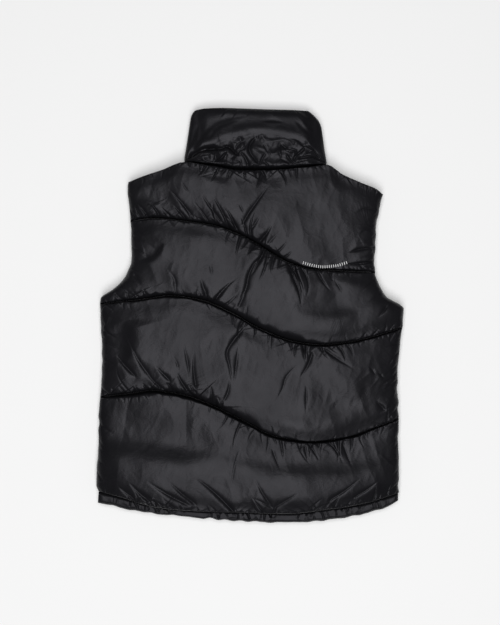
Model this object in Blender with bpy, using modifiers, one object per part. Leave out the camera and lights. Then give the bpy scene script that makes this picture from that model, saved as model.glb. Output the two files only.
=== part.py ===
"""Padded vest with a funnel collar, laid flat on its front, back up.

Frame: +X to the wearer's right, +Y from hem to collar, +Z up from the ground.
The two fronts rest on the ground with their outer side down. The back lies on
them, and the collar is one padded band that is flattened round both layers.
Lengths are in metres.
"""
from collections import namedtuple
from math import pi, radians

import bpy
import numpy as np

# ---------------------------------------------------------------- driving sizes

FRONT_TOP = 0.0240            # inner face of the fronts, above the ground
LAYER_GAP = 0.0003            # between the fronts and the back that lies on them
BACK_BASE = FRONT_TOP + LAYER_GAP
FOLD_LEVEL = FRONT_TOP + LAYER_GAP / 2
SEAM_GAP = 0.0003             # between neighbouring pieces
SEAM_THICKNESS = 0.0045       # padded wall where it is sewn down
THINNEST_WALL = 0.0025        # what is left under the deepest crease
SIDE_ROUNDING = 0.075         # how far in from its sides a panel still swells
FRONT_PUFF = 0.030            # swell of a front channel before the ground flattens it
CENTRE_FRONT = 0.008          # each front stops this far from the middle, at the zip

Point = namedtuple("Point", "x y")
Panel = namedtuple("Panel", "name lower upper puff gather")
Fold = namedtuple("Fold", "panel x0 y0 x1 y1 width depth")

# ---------------------------------------------------------------- outline and seams

# Side edges, from the bottom edge of the hem band up to the shoulder tip.
LEFT_EDGE = (
    Point(-0.2850, -0.3497), Point(-0.2831, -0.3291), Point(-0.2881, -0.3180), Point(-0.2840, -0.2440),
    Point(-0.2820, -0.1770), Point(-0.2798, -0.1524), Point(-0.2770, -0.0650), Point(-0.2794, 0.0216),
    Point(-0.2790, 0.0319), Point(-0.2588, 0.0469), Point(-0.2419, 0.0628), Point(-0.2295, 0.0816),
    Point(-0.2226, 0.1003), Point(-0.2213, 0.1228), Point(-0.2241, 0.1763), Point(-0.2288, 0.2428),
    Point(-0.2275, 0.2498),
)
RIGHT_EDGE = (
    Point(0.2775, -0.3469), Point(0.2781, -0.3319), Point(0.2775, -0.2672), Point(0.2781, -0.1922),
    Point(0.2756, -0.1134), Point(0.2794, -0.0647), Point(0.2850, -0.0234), Point(0.2884, 0.0131),
    Point(0.2831, 0.0193), Point(0.2550, 0.0356), Point(0.2411, 0.0591), Point(0.2331, 0.0806),
    Point(0.2344, 0.1266), Point(0.2381, 0.1791), Point(0.2464, 0.2166), Point(0.2480, 0.2265),
)

# Seams across the back, each from the left side to the right.
SEAMS = {
    "bottom": (
        Point(-0.2850, -0.3497), Point(-0.2513, -0.3578), Point(-0.1969, -0.3688), Point(-0.1388, -0.3752),
        Point(-0.0769, -0.3803), Point(-0.0188, -0.3857), Point(0.0656, -0.3880), Point(0.1613, -0.3812),
        Point(0.2186, -0.3699), Point(0.2588, -0.3583), Point(0.2775, -0.3469),
    ),
    "hem": (
        Point(-0.2831, -0.3291), Point(-0.2333, -0.3409), Point(-0.1763, -0.3572), Point(-0.0994, -0.3647),
        Point(-0.0094, -0.3673), Point(0.0675, -0.3694), Point(0.1538, -0.3606), Point(0.2100, -0.3516),
        Point(0.2781, -0.3319),
    ),
    "wave_3": (
        Point(-0.2798, -0.1524), Point(-0.2138, -0.1444), Point(-0.1856, -0.1403), Point(-0.1275, -0.1478),
        Point(-0.0713, -0.1678), Point(-0.0094, -0.1984), Point(0.0488, -0.2259), Point(0.1163, -0.2349),
        Point(0.1819, -0.2265), Point(0.2394, -0.2068), Point(0.2781, -0.1922),
    ),
    "wave_2": (
        Point(-0.2794, 0.0216), Point(-0.1950, 0.0309), Point(-0.1500, 0.0368), Point(-0.0938, 0.0294),
        Point(-0.0319, 0.0038), Point(0.0068, -0.0188), Point(0.0431, -0.0356), Point(0.0825, -0.0489),
        Point(0.1350, -0.0548), Point(0.1819, -0.0503), Point(0.2850, -0.0234),
    ),
    "wave_1": (
        Point(-0.2241, 0.1763), Point(-0.1800, 0.1815), Point(-0.1031, 0.1738), Point(-0.0656, 0.1678),
        Point(-0.0248, 0.1528), Point(0.0131, 0.1331), Point(0.0506, 0.1097), Point(0.0806, 0.0951),
        Point(0.1144, 0.0863), Point(0.1556, 0.0844), Point(0.2331, 0.0806),
    ),
    "shoulder": (
        Point(-0.2275, 0.2498), Point(-0.2081, 0.2578), Point(-0.1631, 0.2728), Point(-0.1219, 0.2865),
        Point(-0.0750, 0.2808), Point(-0.0188, 0.2724), Point(0.0375, 0.2721), Point(0.0994, 0.2769),
        Point(0.1425, 0.2820), Point(0.1706, 0.2653), Point(0.2036, 0.2503), Point(0.2363, 0.2366),
        Point(0.2480, 0.2265),
    ),
}
NECK_LEFT = -0.1219           # where the shoulders meet the collar
NECK_RIGHT = 0.1425

# The front neckline and the front's share of the shoulders, in two halves.
FRONT_TOP_EDGE = {
    -1: (
        Point(-0.2275, 0.2498), Point(-0.2081, 0.2578), Point(-0.1631, 0.2728), Point(-0.1219, 0.2865),
        Point(-0.1070, 0.2600), Point(-0.0800, 0.2390), Point(-0.0450, 0.2270), Point(-0.0080, 0.2230),
    ),
    1: (
        Point(0.0080, 0.2230), Point(0.0500, 0.2265), Point(0.0920, 0.2390), Point(0.1250, 0.2590),
        Point(0.1425, 0.2820), Point(0.1706, 0.2653), Point(0.2036, 0.2503), Point(0.2363, 0.2366),
        Point(0.2480, 0.2265),
    ),
}
FRONT_CHANNELS = ("hem", "wave_3", "wave_2", "wave_1")

# Back panels, from the hem up: how far each swells, and how deep its gathers are.
BACK_PANELS = (
    Panel("back_hem_panel", "hem", "wave_3", 0.035, 0.0016),
    Panel("back_lower", "wave_3", "wave_2", 0.037, 0.0018),
    Panel("back_upper", "wave_2", "wave_1", 0.034, 0.0018),
    Panel("back_yoke", "wave_1", "shoulder", 0.030, 0.0020),
)

# Largest creases of the back. A positive depth is a trough, a negative one a ridge.
FOLDS = (
    Fold("back_yoke", -0.150, 0.235, -0.104, 0.181, 0.0080, 0.0090),
    Fold("back_yoke", -0.127, 0.248, -0.112, 0.227, 0.0075, 0.0040),
    Fold("back_yoke", -0.090, 0.225, -0.051, 0.170, 0.0085, 0.0090),
    Fold("back_yoke", -0.032, 0.183, -0.018, 0.157, 0.0080, 0.0080),
    Fold("back_yoke", 0.034, 0.240, -0.003, 0.188, 0.0085, 0.0080),
    Fold("back_yoke", -0.003, 0.188, -0.016, 0.164, 0.0080, 0.0070),
    Fold("back_yoke", 0.022, 0.266, 0.012, 0.236, 0.0090, 0.0050),
    Fold("back_yoke", 0.041, 0.168, 0.019, 0.134, 0.0080, 0.0070),
    Fold("back_yoke", -0.094, 0.258, -0.037, 0.268, 0.0085, 0.0060),
    Fold("back_yoke", 0.205, 0.121, 0.232, 0.135, 0.0090, 0.0060),
    Fold("back_upper", -0.159, 0.135, -0.191, 0.098, 0.0110, 0.0050),
    Fold("back_upper", -0.152, 0.085, -0.138, 0.048, 0.0080, 0.0050),
    Fold("back_upper", -0.092, 0.070, -0.081, 0.036, 0.0080, 0.0080),
    Fold("back_upper", -0.036, 0.059, -0.067, 0.024, 0.0085, -0.0060),
    Fold("back_upper", 0.026, 0.111, -0.001, 0.081, 0.0085, 0.0100),
    Fold("back_upper", -0.001, 0.081, -0.015, 0.026, 0.0090, 0.0110),
    Fold("back_upper", 0.069, 0.093, 0.083, 0.066, 0.0080, 0.0060),
    Fold("back_upper", 0.083, 0.066, 0.095, 0.020, 0.0085, 0.0100),
    Fold("back_upper", 0.156, 0.067, 0.173, 0.040, 0.0080, 0.0050),
    Fold("back_upper", -0.253, 0.044, -0.236, 0.025, 0.0080, 0.0040),
    Fold("back_upper", 0.257, 0.020, 0.238, -0.003, 0.0090, 0.0050),
    Fold("back_lower", -0.010, -0.022, -0.042, -0.067, 0.0085, 0.0100),
    Fold("back_lower", -0.042, -0.067, -0.032, -0.130, 0.0090, 0.0060),
    Fold("back_lower", 0.116, -0.067, 0.092, -0.115, 0.0085, 0.0100),
    Fold("back_lower", 0.104, -0.128, 0.103, -0.181, 0.0080, 0.0050),
    Fold("back_lower", 0.135, -0.061, 0.194, -0.100, 0.0085, 0.0100),
    Fold("back_lower", -0.247, -0.074, -0.210, -0.115, 0.0090, 0.0070),
    Fold("back_lower", -0.176, -0.093, -0.146, -0.123, 0.0085, 0.0070),
    Fold("back_lower", -0.103, -0.065, -0.099, -0.138, 0.0085, 0.0070),
    Fold("back_lower", 0.234, -0.158, 0.253, -0.177, 0.0110, 0.0080),
    Fold("back_hem_panel", -0.099, -0.299, -0.062, -0.331, 0.0095, 0.0090),
    Fold("back_hem_panel", -0.062, -0.331, -0.028, -0.366, 0.0090, 0.0110),
    Fold("back_hem_panel", -0.141, -0.333, -0.107, -0.353, 0.0085, 0.0060),
    Fold("back_hem_panel", 0.008, -0.299, 0.044, -0.356, 0.0090, 0.0050),
    Fold("back_hem_panel", 0.090, -0.327, 0.044, -0.356, 0.0085, 0.0050),
    Fold("back_hem_panel", 0.101, -0.239, 0.107, -0.272, 0.0085, 0.0050),
    Fold("back_hem_panel", 0.171, -0.233, 0.189, -0.282, 0.0085, 0.0050),
    Fold("back_hem_panel", 0.040, -0.245, 0.056, -0.286, 0.0085, 0.0050),
    Fold("collar", -0.062, 0.308, -0.022, 0.292, 0.0075, 0.0050),
    Fold("collar", -0.018, 0.290, 0.014, 0.326, 0.0075, 0.0045),
    Fold("collar", 0.028, 0.296, 0.010, 0.276, 0.0075, 0.0045),
    Fold("collar", 0.056, 0.316, 0.058, 0.290, 0.0075, 0.0040),
    Fold("collar", 0.082, 0.290, 0.120, 0.306, 0.0075, 0.0045),
)

# ---------------------------------------------------------------- materials


def make_material(name, colour, roughness, metallic=0.0):
    """A Principled material with one colour, roughness and metallic value."""
    material = bpy.data.materials.new(name)
    material.use_nodes = True
    shader = material.node_tree.nodes["Principled BSDF"]
    shader.inputs["Base Color"].default_value = (*colour, 1.0)
    shader.inputs["Roughness"].default_value = roughness
    shader.inputs["Metallic"].default_value = metallic
    return material


for old_object in list(bpy.data.objects):
    bpy.data.objects.remove(old_object, do_unlink=True)

SHELL_CLOTH = make_material("shell_cloth", (0.030, 0.030, 0.034), 0.38)
HEM_CLOTH = make_material("hem_cloth", (0.026, 0.026, 0.029), 0.45)
ZIP_TAPE = make_material("zip_tape", (0.020, 0.020, 0.022), 0.80)
ZIP_PLASTIC = make_material("zip_plastic", (0.018, 0.018, 0.020), 0.35)
ZIP_METAL = make_material("zip_metal", (0.040, 0.040, 0.043), 0.35, 0.9)

vest_collection = bpy.data.collections.new("puffer_vest")
cutter_collection = bpy.data.collections.new("cutters")
bpy.context.scene.collection.children.link(vest_collection)
bpy.context.scene.collection.children.link(cutter_collection)

# ---------------------------------------------------------------- curves and meshes


def through(points, at, along="x"):
    """Read a smooth curve through the points, with no overshoot between them.

    The curve is a monotone cubic: its slope at each point is the harmonic mean
    of the two chord slopes beside it, and zero at a peak. along="x" gives y at
    the given x, and along="y" gives x at the given y.
    """
    table = np.array(points, dtype=float)
    known, value = (table[:, 0], table[:, 1]) if along == "x" else (table[:, 1], table[:, 0])
    step = np.diff(known)
    chord = np.diff(value) / step
    slope = np.zeros_like(value)
    before, after = chord[:-1], chord[1:]
    rising = before * after > 0
    slope[1:-1][rising] = 2 * before[rising] * after[rising] / (before[rising] + after[rising])
    slope[0], slope[-1] = chord[0], chord[-1]
    place = np.clip(np.searchsorted(known, at) - 1, 0, len(step) - 1)
    t = (at - known[place]) / step[place]
    return (
        value[place] * (1 + 2 * t) * (1 - t) ** 2
        + slope[place] * step[place] * t * (1 - t) ** 2
        + value[place + 1] * t ** 2 * (3 - 2 * t)
        - slope[place + 1] * step[place] * t ** 2 * (1 - t)
    )


def moved_across(x, y, distance):
    """Move a curve sideways by a distance, up for a positive one, and keep its x."""
    return y + distance * np.hypot(1, np.gradient(y, x))


def seam_line(points, x, side):
    """Points of a seam at the given x. side is 1 just above the seam and -1 just below it."""
    return np.column_stack([x, moved_across(x, through(points, x), side * SEAM_GAP / 2)])


def coons_patch(lower, upper, left, right, across, up):
    """Fill four edge curves with a grid: rows go up and columns go across."""
    u, v = across[None, :, None], up[:, None, None]
    ruled = (1 - v) * lower[None] + v * upper[None]
    left_pull = left[:, None] - ruled[:, :1]
    right_pull = right[:, None] - ruled[:, -1:]
    return ruled + (1 - u) * left_pull + u * right_pull


def side_points(edge, low_y, high_y, up):
    """Points of a side edge between two heights."""
    y = low_y + (high_y - low_y) * up
    return np.column_stack([through(edge, y, along="y"), y])


def dome(t, power=2.3, fullness=0.55):
    """Cross-section of a padded channel: 0 at both ends, 1 in the middle, steep at the ends."""
    return (1 - np.abs(2 * t - 1) ** power) ** fullness


def shoulder_of(distance, reach):
    """Quarter circle that rises from 0 at an edge to 1 at the given reach."""
    inside = 1 - np.clip(distance / reach, 0, 1)
    return np.sqrt(1 - inside ** 2)


def crease_depth(name, x, y):
    """Depth of a panel's creases: each is a soft trough round a straight line."""
    depth = np.zeros_like(x)
    for fold in (row for row in FOLDS if row.panel == name):
        run_x, run_y = fold.x1 - fold.x0, fold.y1 - fold.y0
        along = ((x - fold.x0) * run_x + (y - fold.y0) * run_y) / (run_x ** 2 + run_y ** 2)
        nearest = np.clip(along, 0, 1)
        distance = np.hypot(x - fold.x0 - nearest * run_x, y - fold.y0 - nearest * run_y)
        depth += fold.depth * np.exp(-(distance / fold.width) ** 2)
    return depth


def gathers(x, distance, depth, phase):
    """Uneven waves along a seam that die out away from it."""
    wave = np.sin(2 * pi * x / 0.0235 + phase) + 0.7 * np.sin(2 * pi * x / 0.0371 + 2.3 * phase)
    patches = 0.55 + 0.45 * np.sin(2 * pi * x / 0.173 + 1.7 * phase)
    return depth * wave * patches * np.exp(-(distance / 0.022) ** 2)


def grid_faces(rows, columns, first=0, flipped=False):
    """Quads of a grid whose points are numbered row by row."""
    corner = (np.arange(rows - 1)[:, None] * columns + np.arange(columns - 1)[None, :]).ravel() + first
    quads = np.column_stack([corner, corner + 1, corner + columns + 1, corner + columns])
    return quads[:, ::-1] if flipped else quads


def rim_of(rows, columns):
    """Numbers of a grid's rim points, anticlockwise from the first corner."""
    last = rows * columns - 1
    return np.concatenate([
        np.arange(columns - 1),
        np.arange(columns - 1, last, columns),
        np.arange(last, last - columns + 1, -1),
        np.arange(last - columns + 1, 0, -columns),
    ])


def wall_between(name, upper, lower, material):
    """Closed padded wall between two grids of the same rows and columns."""
    rows, columns = upper.shape[:2]
    count = rows * columns
    rim = rim_of(rows, columns)
    ahead = np.roll(rim, -1)
    faces = np.concatenate([
        grid_faces(rows, columns),
        grid_faces(rows, columns, first=count, flipped=True),
        np.column_stack([rim, rim + count, ahead + count, ahead]),
    ])
    points = np.concatenate([upper.reshape(-1, 3), lower.reshape(-1, 3)])
    mesh = bpy.data.meshes.new(name)
    mesh.from_pydata(points.tolist(), [], faces.tolist())
    mesh.shade_smooth()
    mesh.set_sharp_from_angle(angle=radians(40))
    mesh.materials.append(material)
    piece = bpy.data.objects.new(name, mesh)
    vest_collection.objects.link(piece)
    return piece


def lifted(places, height):
    """Grid of places with one height for each."""
    return np.dstack([places, np.broadcast_to(height, places.shape[:2])])


def spread(count, crowding):
    """Numbers from 0 to 1 that stand closer together near both ends."""
    t = np.linspace(0, 1, count)
    return t - crowding * np.sin(2 * pi * t) / (2 * pi)


# ---------------------------------------------------------------- back panels

BACK_COLUMNS = 79
BACK_ROWS = 12
COLUMN_CROWDING = 0.35
ROW_CROWDING = 0.85


def columns_with(count, *corners):
    """Places across a panel, the nearest ones moved to its corners."""
    across = spread(count, COLUMN_CROWDING)
    for corner in corners:
        across[np.argmin(np.abs(across - corner))] = corner
    return across


def back_places(panel, across, up):
    """Where the grid of a back panel lies, seen from above."""
    lower, upper = SEAMS[panel.lower], SEAMS[panel.upper]
    lines = []
    for points, side in ((lower, 1), (upper, -1)):
        x = points[0].x + (points[-1].x - points[0].x) * across
        lines.append(seam_line(points, x, side))
    left = side_points(LEFT_EDGE, lines[0][0, 1], lines[1][0, 1], up)
    right = side_points(RIGHT_EDGE, lines[0][-1, 1], lines[1][-1, 1], up)
    return coons_patch(lines[0], lines[1], left, right, across, up)


def add_back_panel(panel, phase):
    """A padded panel that swells between its seams and is flat underneath."""
    shoulder = SEAMS["shoulder"]
    width = shoulder[-1].x - shoulder[0].x
    corners = [(neck - shoulder[0].x) / width for neck in (NECK_LEFT, NECK_RIGHT)]
    across = columns_with(BACK_COLUMNS, *(corners if panel.upper == "shoulder" else ()))
    up = spread(BACK_ROWS, ROW_CROWDING)
    places = back_places(panel, across, up)
    x, y = places[..., 0], places[..., 1]
    to_side = np.minimum(x - x[:, :1], x[:, -1:] - x)
    to_seam = np.minimum(y - y[:1], y[-1:] - y)
    swell = panel.puff * dome(up)[:, None] * shoulder_of(to_side, SIDE_ROUNDING)
    swell = swell * (1 + 0.07 * np.sin(2 * pi * x / 0.31 + phase))
    bulge = SEAM_THICKNESS + swell - crease_depth(panel.name, x, y)
    off_seam = np.clip(to_seam / 0.006, 0, 1) * np.clip(to_side / 0.010, 0, 1)
    bulge = bulge + off_seam * gathers(x, to_seam, panel.gather, phase)
    bulge = np.where(to_seam > 0, np.maximum(bulge, THINNEST_WALL), SEAM_THICKNESS)
    wall_between(panel.name, lifted(places, BACK_BASE + bulge), lifted(places, BACK_BASE), SHELL_CLOTH)


for number, back_panel in enumerate(BACK_PANELS):
    add_back_panel(back_panel, 1.0 + 1.9 * number)

# ---------------------------------------------------------------- fronts

CHANNEL_ROWS = 9
SIDE_STEPS = np.array([0.0, 0.02, 0.06, 0.12, 0.22, 0.36, 0.52, 0.68, 0.84, 1.0])
NECK_STEPS = np.array([0.0, 0.03, 0.08, 0.15, 0.25, 0.36, 0.48, 0.60, 0.72, 0.84, 0.93, 1.0])
FRONT_NECK_CORNER = {-1: NECK_LEFT, 1: NECK_RIGHT}
FRONT_EDGES = {-1: LEFT_EDGE, 1: RIGHT_EDGE}


def front_columns(side):
    """Places across a front from its side edge (0) to the middle (1), denser at both."""
    tip = FRONT_EDGES[side][-1].x
    corner = (FRONT_NECK_CORNER[side] - tip) / (side * CENTRE_FRONT - tip)
    return np.concatenate([corner * SIDE_STEPS, (corner + (1 - corner) * NECK_STEPS)[1:]])


def front_line(points, side, across):
    """Points of a front's cross line, from its side edge to the middle."""
    outer_x = points[0].x if side < 0 else points[-1].x
    x = outer_x + (side * CENTRE_FRONT - outer_x) * across
    return np.column_stack([x, through(points, x)])


def add_front(name, side):
    """A front, outer side down: the ground flattens its channels, the seams stay clear of it."""
    across = front_columns(side)
    lines = [front_line(SEAMS[seam], side, across) for seam in FRONT_CHANNELS]
    lines.append(front_line(FRONT_TOP_EDGE[side], side, across))
    lines[0][:, 1] = moved_across(lines[0][:, 0], lines[0][:, 1], SEAM_GAP / 2)
    lines[-1][:, 1] = moved_across(lines[-1][:, 0], lines[-1][:, 1], -SEAM_GAP / 2)
    patches, domes = [], []
    for seam, lower, upper in zip(FRONT_CHANNELS, lines[:-1], lines[1:]):
        up = spread(BACK_ROWS if seam == "wave_2" else CHANNEL_ROWS, ROW_CROWDING)
        up = up if upper is lines[-1] else up[:-1]
        outer = side_points(FRONT_EDGES[side], lower[0, 1], upper[0, 1], up)
        middle = np.column_stack([
            np.full(len(up), side * CENTRE_FRONT),
            lower[-1, 1] + (upper[-1, 1] - lower[-1, 1]) * up,
        ])
        patches.append(coons_patch(lower, upper, outer, middle, across, up))
        domes.append(dome(up))
    places = np.concatenate(patches)
    swell = np.concatenate(domes)[:, None]
    x = places[..., 0]
    rounding = shoulder_of(np.abs(x - x[:, :1]), SIDE_ROUNDING)
    rounding = rounding * shoulder_of(np.abs(x - side * CENTRE_FRONT), SIDE_ROUNDING / 3)
    depth = SEAM_THICKNESS + FRONT_PUFF * swell * rounding
    outer_side = lifted(places, np.maximum(FRONT_TOP - depth, 0.0))
    inner_side = lifted(places, FRONT_TOP)
    if side > 0:
        outer_side, inner_side = outer_side[:, ::-1], inner_side[:, ::-1]
    wall_between(name, inner_side, outer_side, SHELL_CLOTH)


add_front("front_left", -1)
add_front("front_right", 1)

# ---------------------------------------------------------------- collar

# The collar's turned edges at its two sides, from the neck seam (y low) to the top.
COLLAR_LEFT = (
    Point(-0.1219, 0.2865), Point(-0.1191, 0.3066), Point(-0.1151, 0.3328), Point(-0.1116, 0.3591),
    Point(-0.1088, 0.3769), Point(-0.1040, 0.3835),
)
COLLAR_RIGHT = (
    Point(0.1425, 0.2820), Point(0.1388, 0.3009), Point(0.1350, 0.3291), Point(0.1313, 0.3563),
    Point(0.1209, 0.3722), Point(0.1100, 0.3826),
)
COLLAR_TOP = (
    Point(-0.1040, 0.3835), Point(-0.0844, 0.3872), Point(-0.0525, 0.3880), Point(-0.0094, 0.3868),
    Point(0.0375, 0.3852), Point(0.0938, 0.3836), Point(0.1100, 0.3826),
)
COLLAR_ARC = (                # the fold that the collar's band makes above the neck
    Point(-0.1180, 0.2935), Point(-0.0800, 0.3100), Point(-0.0410, 0.3290), Point(0.0150, 0.3384),
    Point(0.0656, 0.3328), Point(0.1069, 0.3178), Point(0.1400, 0.2900),
)
COLLAR_FRONT_HEIGHT = 0.104   # from the front neckline to the collar's edge, at the zip
COLLAR_BAND_PUFF = 0.020
COLLAR_NECK_PUFF = 0.0095
COLLAR_FRONT_PUFF = 0.026
COLLAR_SIDE_ROUNDING = 0.045
COLLAR_TOP_THICKNESS = 0.0075
ARC_THICKNESS = 0.0085        # collar wall at the bottom of the arc fold
FOLD_INSET = 0.0060           # padded thickness at the two turned sides
BACK_STEPS = 42
NECK_SHARE = np.array([0.0, 0.22, 0.5, 0.8, 1.0])
BAND_SHARE = np.array([0.10, 0.24, 0.45, 0.68, 0.88, 1.0])


def add_collar():
    """One padded band: left front, round the left fold, back, round the right fold, right front."""
    edge_y = [points[0].y + SEAM_GAP / 2 for points in (COLLAR_LEFT, COLLAR_RIGHT)]
    top_y = [points[-1].y for points in (COLLAR_LEFT, COLLAR_RIGHT)]

    # Back layer: rows follow the neck seam, the arc fold and the top edge.
    w = spread(BACK_STEPS, 0.6)
    seam_x = NECK_LEFT + (NECK_RIGHT - NECK_LEFT) * w
    neck_y = moved_across(seam_x, through(SEAMS["shoulder"], seam_x), SEAM_GAP / 2)
    upper_x = COLLAR_TOP[0].x + (COLLAR_TOP[-1].x - COLLAR_TOP[0].x) * w
    upper_y = through(COLLAR_TOP, upper_x)
    arc_at = (through(COLLAR_ARC, np.clip(seam_x, -0.118, 0.140)) - neck_y) / (upper_y - neck_y)
    rise = np.vstack([
        NECK_SHARE[:, None] * arc_at,
        arc_at + BAND_SHARE[:, None] * (1 - arc_at),
    ])
    back_y = neck_y + rise * (upper_y - neck_y)
    left_x = through(COLLAR_LEFT, back_y[:, 0], along="y")[:, None]
    right_x = through(COLLAR_RIGHT, back_y[:, -1], along="y")[:, None]
    back_x = left_x + (right_x - left_x) * w
    to_side = np.minimum(back_x - left_x, right_x - back_x)
    neck_part = COLLAR_NECK_PUFF * dome(NECK_SHARE)[:, None] * np.clip(arc_at / 0.35, 0, 1)
    neck_base = SEAM_THICKNESS + (ARC_THICKNESS - SEAM_THICKNESS) * NECK_SHARE[:, None]
    band_part = COLLAR_BAND_PUFF * dome(BAND_SHARE)[:, None]
    band_base = ARC_THICKNESS + (COLLAR_TOP_THICKNESS - ARC_THICKNESS) * BAND_SHARE[:, None]
    back_depth = np.vstack([neck_base + neck_part, band_base + band_part * np.ones_like(w)])
    back_depth = back_depth * shoulder_of(to_side, COLLAR_SIDE_ROUNDING)
    creased = back_depth - crease_depth("collar", back_x, back_y)
    in_neck = np.arange(len(rise))[:, None] < len(NECK_SHARE) - 1
    back_depth = np.where(in_neck & (to_side > 0), np.maximum(creased, THINNEST_WALL), back_depth)
    back_depth[0, 1:-1] = SEAM_THICKNESS * shoulder_of(to_side, 0.012)[0, 1:-1]
    back_z = np.where(to_side > 0, BACK_BASE + back_depth, FOLD_LEVEL)

    # Front layers: the same rows, from each turned side to the zip.
    outer_runs, inner_runs = {}, {}
    for side, points, turn_x, end in ((-1, COLLAR_LEFT, left_x, 0), (1, COLLAR_RIGHT, right_x, -1)):
        f = NECK_STEPS[None, 1:]
        neck_x = points[0].x + (side * CENTRE_FRONT - points[0].x) * f
        low_y = through(FRONT_TOP_EDGE[side], neck_x[0])
        order = np.argsort(neck_x[0])
        low_y[order] = moved_across(neck_x[0][order], low_y[order], SEAM_GAP / 2)
        middle_top = low_y[-1] + COLLAR_FRONT_HEIGHT
        high_y = middle_top + (top_y[end] - middle_top) * (1 - f[0]) ** 1.6
        share = (back_y[:, end] - edge_y[end]) / (top_y[end] - edge_y[end])
        share = np.clip(share, 0, 1)[:, None]
        y = low_y + share * (high_y - low_y)
        x = turn_x + (side * CENTRE_FRONT - turn_x) * f
        rounding = shoulder_of(np.abs(x - turn_x), COLLAR_SIDE_ROUNDING)
        near_zip = shoulder_of(np.abs(x - side * CENTRE_FRONT), SIDE_ROUNDING / 3)
        depth = SEAM_THICKNESS + COLLAR_FRONT_PUFF * dome(share) * near_zip
        z = np.maximum(FRONT_TOP - depth * rounding, 0.0)
        inner_x = side * CENTRE_FRONT + (x - side * CENTRE_FRONT) * (1 - FOLD_INSET / np.abs(turn_x))
        outer_runs[side] = np.dstack([x, y, z])
        inner_runs[side] = np.dstack([inner_x, y, np.full_like(z, FRONT_TOP)])

    middle_x = (left_x + right_x) / 2
    inner_back_x = middle_x + (back_x - middle_x) * (1 - 2 * FOLD_INSET / (right_x - left_x))
    inner_back_z = np.where(to_side > 0, BACK_BASE, FOLD_LEVEL)
    outer_back = np.dstack([back_x, back_y, back_z])
    inner_back = np.dstack([inner_back_x, back_y, inner_back_z])
    outer = np.concatenate([outer_runs[-1][:, ::-1], outer_back, outer_runs[1]], axis=1)
    inner = np.concatenate([inner_runs[-1][:, ::-1], inner_back, inner_runs[1]], axis=1)
    wall_between("collar", outer, inner, SHELL_CLOTH)


add_collar()

# ---------------------------------------------------------------- hem bands

BAND_ROWS = np.array([0.0, 0.12, 0.35, 0.68, 0.92, 1.0])
BAND_EDGE = 0.0022            # thickness at the seam and at the turned bottom edge
BAND_PUFF = 0.0042
BAND_GATHER = 0.0013


def band_depth(up, x, phase):
    """Thickness of the gathered hem band."""
    waves = np.sin(2 * pi * x / 0.0215 + phase) + 0.6 * np.sin(2 * pi * x / 0.0337 + 2 * phase)
    return BAND_EDGE + dome(up)[:, None] * (BAND_PUFF + BAND_GATHER * waves)


def add_hem_band(name, low_x, high_x, columns, layer, phase):
    """A stretch of the hem band between two x. layer is 1 for the back and -1 for a front."""
    x = low_x + (high_x - low_x) * np.linspace(0, 1, columns)
    lower = np.column_stack([x, through(SEAMS["bottom"], np.clip(x, -0.2850, 0.2775))])
    upper = seam_line(SEAMS["hem"], np.clip(x, -0.2831, 0.2781), -1)
    up = BAND_ROWS
    left = lower[0] + (upper[0] - lower[0]) * up[:, None]
    right = lower[-1] + (upper[-1] - lower[-1]) * up[:, None]
    places = coons_patch(lower, upper, left, right, np.linspace(0, 1, columns), up)
    depth = band_depth(up, places[..., 0], phase)
    if layer > 0:
        wall_between(name, lifted(places, BACK_BASE + depth), lifted(places, BACK_BASE), HEM_CLOTH)
    else:
        wall_between(name, lifted(places, FRONT_TOP), lifted(places, FRONT_TOP - depth), HEM_CLOTH)


add_hem_band("hem_band_back", -0.2850, 0.2775, 79, 1, 0.4)
add_hem_band("hem_band_front_left", -0.2850, -CENTRE_FRONT, 27, -1, 1.3)
add_hem_band("hem_band_front_right", CENTRE_FRONT, 0.2775, 27, -1, 2.6)

# ---------------------------------------------------------------- front zip

ZIP_BOTTOM = -0.3850
ZIP_TOP = 0.3230              # top stop, just under the collar's edge
ZIP_LEVEL = 0.0204            # middle of the zip, level with the fronts' sewn edges
TAPE_THICKNESS = 0.0012
TAPE_INNER, TAPE_OUTER = 0.0032, CENTRE_FRONT - SEAM_GAP
CHAIN_THICKNESS = 0.0026
CHAIN_HALF_WIDTH = 0.0029
BOX_LENGTH = 0.0090
BOX_THICKNESS = 0.0042
SLIDER_LENGTH = 0.0140
SLIDER_HALF_WIDTH = 0.0050
WING_THICKNESS = 0.0015
WING_CLEARANCE = 0.0003
PIN_RADIUS = 0.0008
EYE_HOLE_RADIUS = 0.0011
EYE_RADIUS = 0.0020
EYE_HALF_WIDTH = 0.0014
LUG_INNER, LUG_OUTER = 0.0017, 0.0027
PULL_LENGTH = 0.0280
PULL_HALF_WIDTH = 0.0027
PULL_THICKNESS = 0.0016
PULL_DROP = 28.0              # degrees that the pull hangs down, its end just off the ground

UPPER_WING_LOW = ZIP_LEVEL + CHAIN_THICKNESS / 2 + WING_CLEARANCE
LOWER_WING_HIGH = ZIP_LEVEL - CHAIN_THICKNESS / 2 - WING_CLEARANCE
LOWER_WING_LOW = LOWER_WING_HIGH - WING_THICKNESS
SLIDER_LOW_Y = ZIP_TOP - SLIDER_LENGTH / 2
SLIDER_HIGH_Y = SLIDER_LOW_Y + SLIDER_LENGTH
PIN_Y = SLIDER_LOW_Y + 0.0060
PIN_Z = LOWER_WING_LOW - EYE_RADIUS - WING_CLEARANCE


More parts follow.
